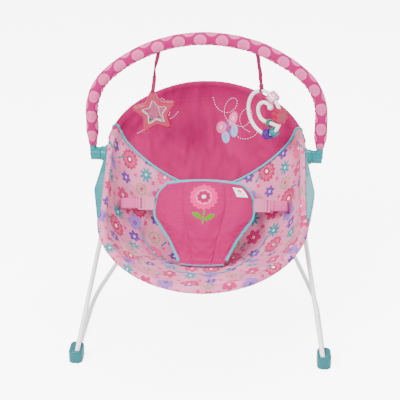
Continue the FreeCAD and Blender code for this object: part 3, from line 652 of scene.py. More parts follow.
def bar_print(w, place, ground):
    """Speckled pale discs in staggered rows round the toy bar."""
    shown = ground
    here = nearest(w, place, [(0, 0), (22, 21.2)], (44.0, 42.4))
    x, y, _ = w.split(here)
    radius = w.vmath("LENGTH", w.join(x, y))
    uneven = radius + (w.noise(place, 0.16, 2.0) - 0.5) * 2.4
    disc = below(w, uneven, 12.6, 0.45)
    shown = w.mix(disc, shown, "CF6494")
    ring = w.use(PETALS, Place=here, Count=12.0, Reach=8.6, Long=2.6, Wide=1.7, Turn=0.1)
    inner = w.use(PETALS, Place=here, Count=7.0, Reach=4.0, Long=1.9, Wide=1.3, Turn=0.5)
    marks = w.either(line_at(w, ring["Edge"], 1.0, 0.16, 0.14), line_at(w, inner["Edge"], 1.0, 0.2, 0.16))
    shown = w.mix(marks * (disc * 0.75), shown, "B30B65")
    speck = w.step(w.noise(place, 0.9, 1.0), 0.6, 0.66)
    shown = w.mix(speck * (disc * 0.35), shown, "B30B65")
    return shown


# the floral and head cloths get soft creases with painted shade along them
FLORAL = cloth("cloth_floral", "D27D9E", "CE6E93", floral_print, fold=58.0)
MAGENTA = cloth("cloth_magenta", "9D0B53", "960B4E", head_print, fold=66.0)
SLEEVE_CLOTH = cloth("cloth_sleeve", "9B0B59", "9B0B58", bar_print, bumpy=0.12)
BINDING = cloth("binding_teal", "0BA8B8", "0B9DAF", None, 0.6, 0.6, 0.5, 0.1)
PIPING = cloth("piping_blue", "5C7FA5", "52749B", None, 0.6, 0.4, 0.6, 0.1)
WEB_DARK = cloth("webbing_magenta", "8D0B4A", "7B1041", None, 1.3, 0.25, 0.6, 0.4)
WEB_PINK = cloth("webbing_pink", "C45589", "C74A87", None, 1.3, 0.25, 0.6, 0.4)


def thread_material(name, base):
    made, w = new_material(name, base, 0.55, Sheen_Weight=0.4)
    x, y, z = w.split(w.place())
    twist = w.math("SINE", (x + y + z) * 9.0)
    w.dress(Normal=w.bump(twist + w.noise(w.place(), 3.0, 2.0), 0.5, 0.06 * MM))
    return made


THREAD_WHITE = thread_material("thread_white", "ECE6EC")
THREAD_PINK = thread_material("thread_pink", "C46690")
THREAD_ROSE = thread_material("thread_rose", "910B4E")


# ---------------------------------------------------------------- the sling's shape
CLOTH_RISE = 1.5
CLOTH_INSET = 8.4
CLOTH_SIDE = 2.4
CLOTH_HALF = HALF - CLOTH_INSET - CLOTH_SIDE
CLOTH_BACK = BACK_DEPTH - CLOTH_INSET - 1.0
CLOTH_FRONT = FRONT_DEPTH - CLOTH_INSET - 1.0
CLOTH = 2.6
PRINT_CLEAR = 700.0  # far enough along the flat cloth to miss the butterfly


def oval_reach(half, depth, radius, x, v):
    """How far the cloth's edge lies from the oval's centre, towards (x, v)."""
    offset, top, centre, angle = oval_arcs(half, depth, radius)
    heading = np.arctan2(v, np.abs(x))
    inward = CLOTH_INSET + CLOTH_SIDE * np.cos(heading) ** 2 + 0.6 * np.sin(heading) ** 2
    small = radius - inward
    joint = np.arctan2(small * math.sin(angle), offset + small * math.cos(angle))
    along = offset * np.cos(heading)
    near = along + np.sqrt(np.maximum(along ** 2 - offset ** 2 + small ** 2, 0))
    along = centre * np.sin(heading)
    far = along + np.sqrt(np.maximum(along ** 2 - centre ** 2 + (top - inward) ** 2, 0))
    return np.where(heading < joint, near, far)


def front_reach(x, v):
    return oval_reach(HALF, FRONT_DEPTH, FRONT_RADIUS, x, v)


def back_reach(x, v):
    return oval_reach(HALF, BACK_DEPTH, BACK_RADIUS, x, v)


def sling_spot(s, r):
    """Plan place of points across (s, -1 to 1) and along (r, mm) the sling, before it is set over its origin."""
    s, r = np.broadcast_arrays(np.asarray(s, float), np.asarray(r, float))
    x = CLOTH_HALF * s
    y = END_Y + r * math.cos(SIDE_SLOPE)
    for mask, w, depth, reach in (
        (r < 0, -r / CLOTH_FRONT, CLOTH_FRONT, front_reach),
        (r > SIDE_LENGTH, (r - SIDE_LENGTH) / CLOTH_BACK, CLOTH_BACK, back_reach),
    ):
        w = np.clip(w, 0, 1)
        across = s * np.sqrt(1 - w * w / 2)
        along = w * np.sqrt(1 - s * s / 2)
        size = np.hypot(across, along)
        px, pv = across * CLOTH_HALF, along * depth
        grow = size * reach(px, pv) / np.maximum(np.hypot(px, pv), 1e-9)
        x = np.where(mask, px * grow, x)
        if reach is front_reach:
            y = np.where(mask, END_Y - pv * grow * math.cos(FRONT_SLOPE), y)
        else:
            y = np.where(mask, pv * grow * math.cos(BACK_SLOPE), y)
    return x, y


def sling_height(x, y):
    """Height of the sling's upper surface over a place in plan."""
    x, y = np.broadcast_arrays(np.asarray(x, float), np.asarray(y, float))
    out = np.abs(x) / CLOTH_HALF
    rim = HUB_Z + y * math.tan(SIDE_SLOPE)
    v = y / math.cos(BACK_SLOPE)
    out = np.where(y > 0, np.hypot(x, v) / np.maximum(back_reach(x, v), 1), out)
    rim = np.where(y > 0, HUB_Z + y * math.tan(BACK_SLOPE), rim)
    v = (END_Y - y) / math.cos(FRONT_SLOPE)
    out = np.where(y < END_Y, np.hypot(x, v) / np.maximum(front_reach(x, v), 1), out)
    rim = np.where(y < END_Y, END_Z - (END_Y - y) * math.tan(FRONT_SLOPE), rim)
    shallow = np.where(y < LOW_Y, 58.0, 74.0)
    deep = shallow + (130.0 - shallow) * np.exp(-((y - LOW_Y) / 100.0) ** 2) - SLING_RISE + CLOTH_RISE
    return rim + CLOTH_RISE - deep * np.maximum(0.0, 1 - np.minimum(out, 1.0) ** 2.4) ** 0.6


def seam_r(s):
    return SEAM_CENTRE + (SEAM_SIDE - SEAM_CENTRE) * np.abs(s) ** 1.6


def on_sling(x, y, lift=0.0):
    """A point on the cloth over a place in plan (final frame), raised square to it."""
    x, y = np.asarray(x, float), np.asarray(y, float) - SY
    z = sling_height(x, y)
    dx = (sling_height(x + 0.5, y) - sling_height(x - 0.5, y))
    dy = (sling_height(x, y + 0.5) - sling_height(x, y - 0.5))
    size = np.sqrt(dx * dx + dy * dy + 1)
    return np.stack([x - dx / size * lift, y + SY - dy / size * lift, z + lift / size], -1)


def flat_place(x, y):
    """The cloth laid flat: directions from the lowest point, lengths between plan and true."""
    centre_y = LOW_Y + 20
    steps = 22
    length = np.zeros(np.shape(x))
    before = (np.zeros(np.shape(x)), np.full(np.shape(y), centre_y))
    level = sling_height(*before)
    for k in range(1, steps + 1):
        t = math.sin(math.pi / 2 * k / steps)
        now = (x * t, centre_y + (y - centre_y) * t)
        height = sling_height(*now)
        length = length + np.sqrt((now[0] - before[0]) ** 2 + (now[1] - before[1]) ** 2 + (height - level) ** 2)
        before, level = now, height
    plan = np.maximum(np.hypot(x, y - centre_y), 1e-6)
    reach = 0.6 * length + 0.4 * plan
    return x / plan * reach, (y - centre_y) / plan * reach


# ---------------------------------------------------------------- cloth round the rim
def rim_frame(x, y, r):
    """The tube's centre beside an edge point, the way out and the way up there, and how much it is bracket."""
    side = np.sign(x) if x else 1.0
    t = -y / math.cos(SIDE_SLOPE)
    if 0 <= r <= SIDE_LENGTH:
        centre = np.array((side * HALF, y, HUB_Z + y * math.tan(SIDE_SLOPE)))
        out = np.array((side, 0, 0))
        up = np.array((0, -math.sin(SIDE_SLOPE), math.cos(SIDE_SLOPE)))
    else:
        front = r < 0
        slope = FRONT_SLOPE if front else BACK_SLOPE
        depth, radius = (FRONT_DEPTH, FRONT_RADIUS) if front else (BACK_DEPTH, BACK_RADIUS)
        v = (END_Y - y) / math.cos(slope) if front else y / math.cos(slope)
        offset, top, low, meet = oval_arcs(HALF, depth, radius)
        middle = np.array((side * offset, 0.0))
        if math.atan2(v, abs(x) - offset) > meet:
            middle = np.array((0.0, low))
        way = unit(np.array((x, v)) - middle)
        spot = middle + way * (radius if middle[0] else top)
        ahead = np.array((0, math.cos(slope), math.sin(slope))) * (-1 if front else 1)
        base = np.array((0, END_Y, END_Z)) if front else np.array((0, 0, HUB_Z))
        centre = base + np.array((spot[0], 0, 0)) + ahead * spot[1]
        out = np.array((way[0], 0, 0)) + ahead * way[1]
        up = unit(np.cross(out, np.cross((0, 0, 1.0), out)))
    bracket = ease(t, -32, -19) * (1 - ease(t, 163, 177))
    if side * x < HALF * 0.8:
        bracket = 0.0
    top_line = 15 + (9.5 - 15) * (t + 19) / 79 if t < 60 else 9.5 - 0.5 * (t - 60) / 112
    return centre, out, up, bracket, top_line


def wrap_shape(k, top, swell):
    """Points (out, up) of the cloth round the rim, from its upper side over to its lower side."""
    made = []
    hem = [
        (-10.6, -5), (-10.4, 0.6), (-9.2, 2.5), (-6.6, 3.3), (-2.8, 3.5), (-0.6, 3.4),
        (0.6, 2.7), (0.8, 1.7), (0.2, 0.7), (-3.2, 0.6), (-7.0, 0.2), (-7.7, -6),
    ]
    for i, (a, b) in enumerate(hem):
        turn = math.radians(152 - 296 * i / (len(hem) - 1))
        size = 8.0 + swell
        ring = (size * math.cos(turn), size * math.sin(turn))
        puff = swell * (1 if 1 < i < 8 else 0)
        made.append((ring[0] * (1 - k) + a * k, ring[1] * (1 - k) + (top + b + puff) * k))
    return made


def wrinkle(u, v, edge):
    """How far the padded cloth stands off its smooth shape."""
    size = math.hypot(u, v) + 1e-6
    turn = math.atan2(v, u)
    broad = noise.noise((u / 70, v / 85, 1.3)) * 2.6
    drift = 0.8 * noise.noise((u / 55, v / 55, 4.0))
    pulled = noise.noise((turn * 5.5 + drift, size / 120, 7.7))
    tension = (0.35 - abs(pulled)) * 6.0 * ease(size, 60, 190)
    fold = noise.noise((u / 30 + v / 90 + drift, v / 60 - u / 120, 11.0))
    crease = (0.3 - abs(fold)) * 3.4
    small = noise.noise((u / 12, v / 14, 2.1)) * 0.4
    pucker = noise.noise((u / 4.4, v / 4.4, 9.3)) * 1.1 * math.exp(-edge / 8.0)
    return (broad + tension + crease + small) * min(1.0, edge / 24.0) + pucker * min(1.0, edge / 2.0)


def sling_piece(name, r_low, r_high, rows, columns, wrap_low, material, stands_for, under_shift=0.0):
    """One padded panel of the sling: an upper and a lower skin and the wrap round the rim."""
    s = np.sin(math.pi / 2 * np.linspace(-1, 1, columns))
    fine = np.linspace(0, 1, rows)
    along = 1 - np.cos(math.pi / 2 * fine) if wrap_low else np.sin(math.pi / 2 * fine)
    s, along = s[None, :], along[:, None]
    r = r_low(s) + (r_high(s) - r_low(s)) * along
    s = np.broadcast_to(s, r.shape)
    x, y = sling_spot(s, r)
    z = sling_height(x, y)
    inner = np.stack([x, y, z], -1)
    across = np.gradient(inner, axis=1)
    ahead = np.gradient(inner, axis=0)
    normal = np.cross(across, ahead)
    normal /= np.maximum(np.linalg.norm(normal, axis=-1, keepdims=True), 1e-9)
    normal *= np.where(normal[..., 2:] < 0, -1, 1)
    edges = [(i, 0) for i in range(rows)], [(i, columns - 1) for i in range(rows)]
    if wrap_low:
        chain = edges[0][::-1] + [(0, j) for j in range(1, columns - 1)] + edges[1]
    else:
        chain = edges[0] + [(rows - 1, j) for j in range(1, columns - 1)] + edges[1][::-1]
    frames = [rim_frame(x[c], y[c], r[c]) for c in chain]
    outs = np.array([f[1] for f in frames])
    ups = np.array([f[2] for f in frames])
    even_out(outs, 12)
    even_out(ups, 12)
    u, v = flat_place(x, y)
    rim = np.array([inner[c] for c in chain])
    from_rim = distance_from(rim, inner)
    from_seam = distance_from(inner[-1] if wrap_low else inner[0], inner)
    lift = np.zeros(x.shape)
    for i in range(rows):
        for j in range(columns):
            near = min(from_rim[i, j], from_seam[i, j] + 1.0)
            lift[i, j] = wrinkle(float(u[i, j]), float(v[i, j]), float(near))
    lift += 1.6 * (1 - np.exp(-from_seam / 9.0)) - 1.6
    upper = inner + normal * lift[..., None]
    lower = inner - normal * (CLOTH * np.minimum(1, 0.3 + from_rim / 14) - lift * 0.6)[..., None]
    verts = [tuple(p) for p in upper.reshape(-1, 3)] + [tuple(p) for p in lower.reshape(-1, 3)]
    uv = [tuple(p) for p in np.stack([u, v], -1).reshape(-1, 2)]
    uv += [(a, b + under_shift) for a, b in uv]
    size = rows * columns
    faces = grid_faces(rows, columns) + [f[::-1] for f in grid_faces(rows, columns, size)]
    travelled = 0.0
    rings = []
    for n, c in enumerate(chain):
        centre, _, _, k, top = frames[n]
        if n:
            travelled += float(np.linalg.norm(rim[n] - rim[n - 1]))
        swell = 0.35 * noise.noise((travelled / 9, 0.0, 3.3)) + 0.3 * noise.noise((travelled / 40, 5.0, 1.1))
        here = [c[0] * columns + c[1]]
        out, up = unit(outs[n]), unit(ups[n])
        inward = np.array((u[c], v[c]))
        away = unit(inward)
        spent = 0.0
        last = rim[n]
        for i, (a, b) in enumerate(wrap_shape(k, top, swell)):
            point = centre + out * a + up * b
            spent += float(np.linalg.norm(point - last))
            last = point
            verts.append(tuple(point))
            uv.append(tuple(inward + away * spent))
            here.append(len(verts) - 1)
        here.append(size + c[0] * columns + c[1])
        rings.append(here)
    for a, b in zip(rings[:-1], rings[1:]):
        for i in range(len(a) - 1):
            faces.append((a[i], a[i + 1], b[i + 1], b[i]))
    seam = rows - 1 if wrap_low else 0
    for j in range(columns - 1):
        a, b = seam * columns + j, seam * columns + j + 1
        faces.append((a, b, size + b, size + a))
    faces.append(tuple(rings[0]))
    faces.append(tuple(rings[-1][::-1]))
    verts = [(p[0], p[1] + SY, p[2]) for p in verts]
    obj = as_piece(name, verts, faces, material, uv=uv)
    face_out(obj, weld=False)
    settle(obj, "seat", stands_for)
    return obj


SEAT_ROWS, HEAD_ROWS, COLUMNS = ((190, 100, 151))
seat_cloth = sling_piece(
    "seat_cloth", lambda s: -CLOTH_FRONT + 0 * s, lambda s: seam_r(s) - 0.5, SEAT_ROWS, COLUMNS, True, FLORAL,
    ("seat_panel", "front_hem", "side_flap_left", "side_flap_right"))
head_cloth = sling_piece(
    "head_cloth", lambda s: seam_r(s) + 0.5, lambda s: SIDE_LENGTH + CLOTH_BACK + 0 * s, HEAD_ROWS, COLUMNS, False,
    MAGENTA,
    ("head_panel", "head_hem"), PRINT_CLEAR)


# ---------------------------------------------------------------- the toy bar's padded sleeve
BAR_HALF = 238.0
BAR_SIDE = 89.0
BAR_ARCH = 164.0
BAR_RADIUS = 120.0
NECK_TOP = 20.5
SLEEVE_RADIUS = 13.4
SLEEVE_END_RADIUS = 7.6
SLEEVE_ROUND = 84.8  # the print's length once round the sleeve


def spline(rows, count):
    """A smooth run of points through rows, evenly spread over them."""
    rows = np.asarray(rows, float)
    made = []
    for value in np.linspace(0, len(rows) - 1, count):
        i = min(int(value), len(rows) - 2)
        t = value - i
        a, b = rows[max(i - 1, 0)], rows[i]
        c, d = rows[i + 1], rows[min(i + 2, len(rows) - 1)]
        if i == 0:
            a = 2 * b - c
        if i + 2 > len(rows) - 1:
            d = 2 * c - b
        made.append(0.5 * ((2 * b) + (c - a) * t + (2 * a - 5 * b + 4 * c - d) * t * t + (3 * b - a - 3 * c + d)
            * t ** 3))
    return np.array(made)


def even_path(points, step):
    """The same line with its points evenly spaced, and the distance to each."""
    points = np.asarray(points, float)
    length = distances(points)
    count = max(2, int(round(length[-1] / step)) + 1)
    at = np.linspace(0, length[-1], count)
    return np.stack([np.interp(at, length, points[:, k]) for k in range(3)], -1), at


def bar_place(u, v):
    return (u, SY, HUB_Z + BAR_SIDE + v)


BAR_PATH, BAR_AT = even_path(
    arch_path(BAR_HALF, BAR_ARCH, BAR_RADIUS, BAR_SIDE - NECK_TOP, bar_place, 2.0), 1.7)
even_out(BAR_PATH, 4)


def sleeve_piece():
    around = 60
    total = float(BAR_AT[-1])
    verts, uv = [], []
    count = len(BAR_PATH)
    for i in range(count):
        s = float(BAR_AT[i])
        along = unit(BAR_PATH[min(i + 1, count - 1)] - BAR_PATH[max(i - 1, 0)])
        out = unit(np.cross((0, 1.0, 0), along))
        if np.dot(out, BAR_PATH[i] - np.array((0, SY, 300.0))) < 0:
            out = -out
        deep = np.array((0, 1.0, 0))
        end = min(s, total - s)
        bend = 1.0 if 55 < end < 235 else 0.45
        taper = 0.62 + 0.38 * ease(end, 0.0, 34.0 if s < total / 2 else 22.0)
        gather = math.exp(-end / 13.0)
        for k in range(around):
            a = 2 * math.pi * k / around
            inside = max(0.0, -math.cos(a)) ** 0.8
            phase = s / 12.5 * 2 * math.pi + 2.5 * noise.noise((s / 30, math.sin(a), 2.2))
            strong = 0.5 + 0.8 * noise.noise((s / 38, math.cos(a) * 0.6, 8.0))
            fold = -abs(math.sin(phase / 2)) ** 3 * inside * bend * 1.5 * max(0.0, strong + 0.4)
            soft = 0.8 * noise.noise((s / 31, math.cos(a) * 1.3, math.sin(a) * 1.3))
            soft += 0.35 * noise.noise((s / 9, math.cos(a) * 3, math.sin(a) * 3))
            pleat = gather * 1.1 * math.cos(a * 9 + 1.5 * noise.noise((a, 3.0, 1.0)))
            seam = -0.9 * math.exp(-((a - math.pi) / 0.07) ** 2)
            r = SLEEVE_RADIUS * taper + (fold + soft) * (1 - gather) + pleat + seam * (1 - gather)
            verts.append(BAR_PATH[i] + out * math.cos(a) * r + deep * math.sin(a) * r)
            uv.append((s, SLEEVE_ROUND * k / around))
    faces = grid_faces(count, around, wrap=True)
    for low, flip in ((0, 1), ((count - 1) * around, -1)):
        middle = BAR_PATH[0] if low == 0 else BAR_PATH[-1]
        inner = len(verts)
        for k in range(around):
            rim = verts[low + k] - middle
            verts.append(middle + rim * (SLEEVE_END_RADIUS / np.linalg.norm(rim)) + np.array((0, 0, 1.5)))
            uv.append((0.0 if low == 0 else total, SLEEVE_ROUND * k / around))
        for k in range(around):
            n = (k + 1) % around
            face = (low + k, low + n, inner + n, inner + k)
            faces.append(face[::-flip] if flip < 0 else face[::-1])
        faces.append(tuple(inner + k for k in range(around))[::flip])
    obj = as_piece("bar_sleeve", verts, faces, SLEEVE_CLOTH, uv=uv)
    # the print meets itself at the inner seam, so the last strip's places run on instead of back
    layer = obj.data.uv_layers["cloth_map"].data
    for poly in obj.data.polygons:
        rows = [layer[i].uv[1] for i in poly.loop_indices]
        if max(rows) - min(rows) > 50:
            for i in poly.loop_indices:
                if layer[i].uv[1] < 40:
                    layer[i].uv[1] += SLEEVE_ROUND
    face_out(obj, weld=False)
    settle(obj, "toy_bar", ("toy_bar_sleeve",))


sleeve_piece()

# ---------------------------------------------------------------- the restraint panel
PANEL_ROWS = [(-60, 295, 78, 9), (-70, 287, 96, 22), (-90, 270, 101, 24), (-110, 252, 99, 22), (-130, 230, 84, 14),
    (-150, 204, 66, 7), (-169, 178, 53, 1)]
PANEL_END_Y = -186.0
PANEL_END_HALF = 43.0


def panel_grid(across, down):
    """The panel's back surface and the way square to it, as grids of points."""
    rows = []
    for y, z, half, drop in PANEL_ROWS:
        rows.append([(half * s, y + 8 * s * s * half / 100, z - drop * s * s) for s in np.linspace(-1, 1, 9)])
    last = []
    for s in np.linspace(-1, 1, 9):
        x = PANEL_END_HALF * s
        last.append((x, PANEL_END_Y, float(sling_height(x, PANEL_END_Y)) + 0.8))
    rows.append(last)
    rows = np.array(rows)
    dense = spline(rows, down)
    dense = np.swapaxes(spline(np.swapaxes(dense, 0, 1), across), 0, 1)
    along = np.gradient(dense, axis=0)
    side = np.gradient(dense, axis=1)
    normal = np.cross(along, side)
    normal /= np.linalg.norm(normal, axis=-1, keepdims=True)
    dense[..., 1] += SY
    return dense, normal


PANEL_SEAM = 0.44


def run_cloth(obj, pinned, pressure=4.0, frames=18, cap=3.0, stiff=25.0):
    """Puffs a closed cloth piece with the pinned points held, and keeps the result."""
    rest = np.array([v.co for v in obj.data.vertices])
    group = obj.vertex_groups.new(name="held")
    for index, weight in pinned.items():
        group.add([index], weight, "REPLACE")
    sim = obj.modifiers.new("puff", "CLOTH")
    sim.settings.quality = 6
    sim.settings.mass = 0.15
    sim.settings.tension_stiffness = stiff
    sim.settings.compression_stiffness = stiff
    sim.settings.shear_stiffness = stiff * 0.6
    sim.settings.bending_stiffness = 0.4
    sim.settings.air_damping = 4.0
    sim.settings.use_pressure = True
    sim.settings.uniform_pressure_force = pressure
    sim.settings.shrink_min = -0.025
    sim.settings.vertex_group_mass = "held"
    sim.settings.effector_weights.gravity = 0.0
    sim.point_cache.frame_start = 1
    sim.point_cache.frame_end = frames
    scene = bpy.context.scene
    for frame_number in range(1, frames + 1):
        scene.frame_set(frame_number)
    graph = bpy.context.evaluated_depsgraph_get()
    shape = obj.evaluated_get(graph)
    moved = np.array([v.co for v in shape.data.vertices])
    scene.frame_set(1)
    obj.modifiers.clear()
    obj.vertex_groups.clear()
    step = moved - rest
    size = np.linalg.norm(step, axis=1, keepdims=True)
    step *= np.minimum(1.0, cap * MM / np.maximum(size, 1e-9))
    step[~np.isfinite(step).all(axis=1)] = 0.0
    for vertex, way in zip(obj.data.vertices, step):
        vertex.co += Vector(way)
    obj.data.update()


def panel_piece():
    across, down = ((93, 97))
    back, normal = panel_grid(across, down)
    s = np.linspace(-1, 1, across)
    t = np.linspace(0, 1, down)
    edge = np.minimum(1 - np.abs(s)[None, :], np.minimum(t * 1.4, (1 - t) * 2.0 + 0.02)[:, None])
    plump = np.sqrt(np.clip(edge / 0.16, 0, 1))
    seam = np.exp(-((np.abs(s) - PANEL_SEAM) / 0.035) ** 2)[None, :] * np.ones((down, 1))
    front = back + normal * (2.2 + 5.6 * plump * (1 - 0.55 * seam))[..., None]
    rear = back + normal * (1.2 - 0.6 * plump)[..., None]
    flat_u = distances(back)
    flat_u -= flat_u[:, across // 2][:, None]
    flat_v = -distances(back[:, across // 2])[:, None] * np.ones((1, across))
    uv = [tuple(p) for p in np.stack([flat_u, flat_v], -1).reshape(-1, 2)] * 2
    verts = [tuple(p) for p in front.reshape(-1, 3)] + [tuple(p) for p in rear.reshape(-1, 3)]
    size = across * down
    faces = shell_faces(down, across)
    obj = as_piece("restraint_pad", verts, faces, PANEL_CLOTH, uv=uv)
    face_out(obj)
    held = {}
    for i in range(down):
        for j in range(across):
            k = i * across + j
            if edge[i, j] < 0.03 or i > down - 4:
                held[k] = held[size + k] = 1.0
            elif seam[i, j] > 0.55 and i < down * 0.8:
                held[k] = held[size + k] = 1.0
            else:
                held[size + k] = 0.6
    if len(obj.data.vertices) == 2 * size:
        run_cloth(obj, held, pressure=5.0, frames=16, cap=3.2)
    soft = obj.modifiers.new("finer", "SUBSURF")
    soft.levels = 1
    soft.render_levels = 1
    bake_modifiers(obj)
    shade_smooth(obj.data)
    settle(obj, "seat", ("restraint_panel",))
    return obj, front, normal


def flower_print(w, place, ground):
    """The sewn-on flower: scalloped petals, a pale ring, deep inner petals, a white heart and a leafy stem."""
    shown = ground
    here = w.vmath("SUBTRACT", place, (0.0, -40.0, 0.0))
    x, y, _ = w.split(here)
    bent = x + w.math("SINE", y * 0.07) * 1.6
    stem = line_at(w, bent, 0.0, 1.35, 0.35) * (w.step(y, -58.6, -57.6) * w.step(y, -22.0, -23.0))
    shown = w.mix(stem, shown, "4A880B")
    for cx, cy, lean in ((-12.0, -40.0, -0.62), (12.0, -43.5, 0.62)):
        a = x - cx
        b = y - cy
        p = a * math.cos(lean) + b * math.sin(lean)
        q = b * math.cos(lean) - a * math.sin(lean)
        leaf = w.vmath("LENGTH", w.join(p / 11.5, q / 4.6))
        shown = w.coats(shown, (below(w, leaf, 1.0, 0.06), "4A880B"),
            (line_at(w, q, 0.0, 0.3, 0.25) * below(w, leaf, 0.8, 0.1), "36710B"))
    outer = w.use(PETALS, Place=here, Count=16.0, Reach=21.5, Long=6.4, Wide=4.9, Turn=0.0)
    radius = outer["Radius"]
    mask = w.either(below(w, outer["Edge"], 1.0, 0.05), below(w, radius, 21.8, 0.3))
    shown = w.coats(shown, (mask, "D80B71"), (line_at(w, outer["Edge"], 0.72, 0.03, 0.04) * 0.6, "CD638B"),
        (line_at(w, radius, 14.6, 1.5, 0.3), "D07394"))
    inner = w.use(PETALS, Place=here, Count=8.0, Reach=8.6, Long=5.2, Wide=3.5, Turn=0.2)
    shown = w.coats(shown, (below(w, inner["Edge"], 1.0, 0.06), "910C4B"),
        (line_at(w, inner["Edge"], 0.62, 0.04, 0.05), "BA0B69"), (below(w, radius, 4.2, 0.3), "ECE3EB"))
    dots = w.use(PETALS, Place=here, Count=6.0, Reach=2.3, Long=0.6, Wide=0.6, Turn=0.0)
    shown = w.mix(below(w, dots["Edge"], 1.0, 0.2), shown, "910C4B")
    return shown


PANEL_CLOTH = cloth("cloth_panel_print", "A10B56", "9C0B54", flower_print)
pad, PANEL_FRONT, PANEL_NORMAL = panel_piece()


# ---------------------------------------------------------------- stitches
def stitch_tree():
    """Short threads laid along every line of a mesh, evenly spaced."""
    tree = bpy.data.node_groups.new("stitches", "GeometryNodeTree")
    tree.interface.new_socket(name="Geometry", in_out="INPUT", socket_type="NodeSocketGeometry")
    for label, value in (("Pitch", 0.005), ("Length", 0.0032), ("Width", 0.0008)):
        socket = tree.interface.new_socket(name=label, in_out="INPUT", socket_type="NodeSocketFloat")
        socket.default_value = value
    tree.interface.new_socket(name="Thread", in_out="INPUT", socket_type="NodeSocketMaterial")
    tree.interface.new_socket(name="Geometry", in_out="OUTPUT", socket_type="NodeSocketGeometry")
    w = Web(tree)
    given = tree.nodes.new("NodeGroupInput").outputs
    curve = w.add("GeometryNodeMeshToCurve", given["Geometry"])
    spaced = w.add("GeometryNodeResampleCurve", Curve=curve, Length=given["Pitch"], settings={"mode": "LENGTH"})
    ball = w.add("GeometryNodeMeshUVSphere", Segments=8, Rings=6, Radius=0.5)
    size = w.add("ShaderNodeCombineXYZ", given["Length"], given["Width"], given["Width"])
    shaped = w.add("GeometryNodeTransform", Geometry=ball, Scale=size)
    turn = w.add("FunctionNodeAlignRotationToVector", Vector=tree.nodes.new("GeometryNodeInputTangent"),
        settings={"axis": "X"})
    laid = w.add("GeometryNodeInstanceOnPoints", Points=spaced, Instance=shaped, Rotation=turn)
    real = w.add("GeometryNodeRealizeInstances", laid)
    smooth = w.add("GeometryNodeSetShadeSmooth", real)
    coloured = w.add("GeometryNodeSetMaterial", Geometry=smooth, Material=given["Thread"])
    w.put(tree.nodes.new("NodeGroupOutput").inputs[0], coloured.outputs[0])
    return tree


STITCHES = stitch_tree()


def stitch_piece(name, runs, thread, length, pitch, width):
    """One piece on the seat holding the stitches along several lines of points in mm."""
    verts, edges = [], []
    for run in runs:
        first = len(verts)
        verts += [tuple(c * MM for c in p) for p in run]
        edges += [(first + i, first + i + 1) for i in range(len(run) - 1)]
    mesh = bpy.data.meshes.new(name)
    mesh.from_pydata(verts, edges, [])
    obj = place_object(name, mesh)
    modifier = obj.modifiers.new("sew", "NODES")
    modifier.node_group = STITCHES
    values = {"Pitch": pitch * MM, "Length": length * MM, "Width": width * MM, "Thread": thread}
    for item in STITCHES.interface.items_tree:
        if item.item_type == "SOCKET" and item.in_out == "INPUT" and item.name in values:
            modifier[item.identifier] = values[item.name]
    bake_modifiers(obj)
    settle(obj, "seat")
    return obj


def cord_piece(name, path, material, radius):
    """A thin cord sewn to the seat along a line of points."""
    turns = [2 * math.pi * k / 14 for k in range(14)]
    obj = as_piece(name, *sweep(path, [(radius * math.cos(a), radius * math.sin(a)) for a in turns]), material)
    face_out(obj)
    settle(obj, "seat")


def surface_tree(*pieces):
    """A search tree over the faces of finished pieces."""
    bm = bmesh.new()
    for piece in pieces:
        bm.from_mesh(piece.data)
    tree = BVHTree.FromBMesh(bm)
    bm.free()
    return tree


SLING_TREE = surface_tree(seat_cloth, head_cloth)


def laid_on(x, y, lift):
    """Points on the wrinkled cloth over places in plan, raised by lift."""
    above, base = on_sling(x, y, 12.0), on_sling(x, y, 0.0)
    made = []
    for high, low in zip(above, base):
        way = unit(low - high)
        hit = SLING_TREE.ray_cast(Vector(high * MM), Vector(way), 0.03)[0]
        made.append((np.array(hit) / MM if hit is not None else low) - way * lift)
    made = np.array(made)
    even_out(made, 2)
    return made


def sling_line(points, count, lift):
    """A smooth line over the sling through plan places."""
    dense = spline(np.array(points, float), count)
    return laid_on(dense[:, 0], dense[:, 1], lift)


# piping where the head panel meets the floral panel
across = np.sin(math.pi / 2 * np.linspace(-0.985, 0.985, 200))


def sling_run(s, r, lift=0.35):
    """A line on the cloth through places given as for sling_spot."""
    x, y = sling_spot(s, r)
    return laid_on(x, y + SY, lift)


def round_rim(side):
    """The piping's way over the rim, from the cloth's edge down the outside."""
    x, y = (float(v) for v in sling_spot(float(side), seam_r(1.0)))
    centre, out, up, k, top = rim_frame(x, y, float(seam_r(1.0)))
    return [centre + out * a + up * (b + 0.4) + np.array((0, SY, 0)) for a, b in wrap_shape(k, top, 0.0)[1:9]]


seam_path = even_path([*reversed(round_rim(-1)), *sling_run(across, seam_r(across), 0.7), *round_rim(1)], 1.6)[0]
cord_piece("seam_piping", seam_path, BINDING, 2.3)
# hem stitches just inside the rim, and a row on each side of the seam
HEM_AT, HEAD_HEM_AT = 0.945, 0.95
SEAM_ROW = 6.0
hem_s = np.sin(math.pi / 2 * np.linspace(-1, 1, 260))
side_r = np.linspace(-CLOTH_FRONT * HEM_AT, SEAM_SIDE - 12, 150)
seat_runs = [sling_run(across * 0.995, seam_r(across) - SEAM_ROW), sling_run(hem_s * HEM_AT, -CLOTH_FRONT * HEM_AT)]
seat_runs += [sling_run(side * HEM_AT, side_r) for side in (-1, 1)]
stitch_piece("seat_stitches", seat_runs, THREAD_PINK, 2.6, 3.9, 0.6)
head_runs = [
    sling_run(hem_s * HEAD_HEM_AT, SIDE_LENGTH + CLOTH_BACK * HEAD_HEM_AT),
    sling_run(across * 0.995, seam_r(across) + SEAM_ROW),
]
stitch_piece("head_stitches", head_runs, THREAD_ROSE, 2.6, 3.9, 0.6)
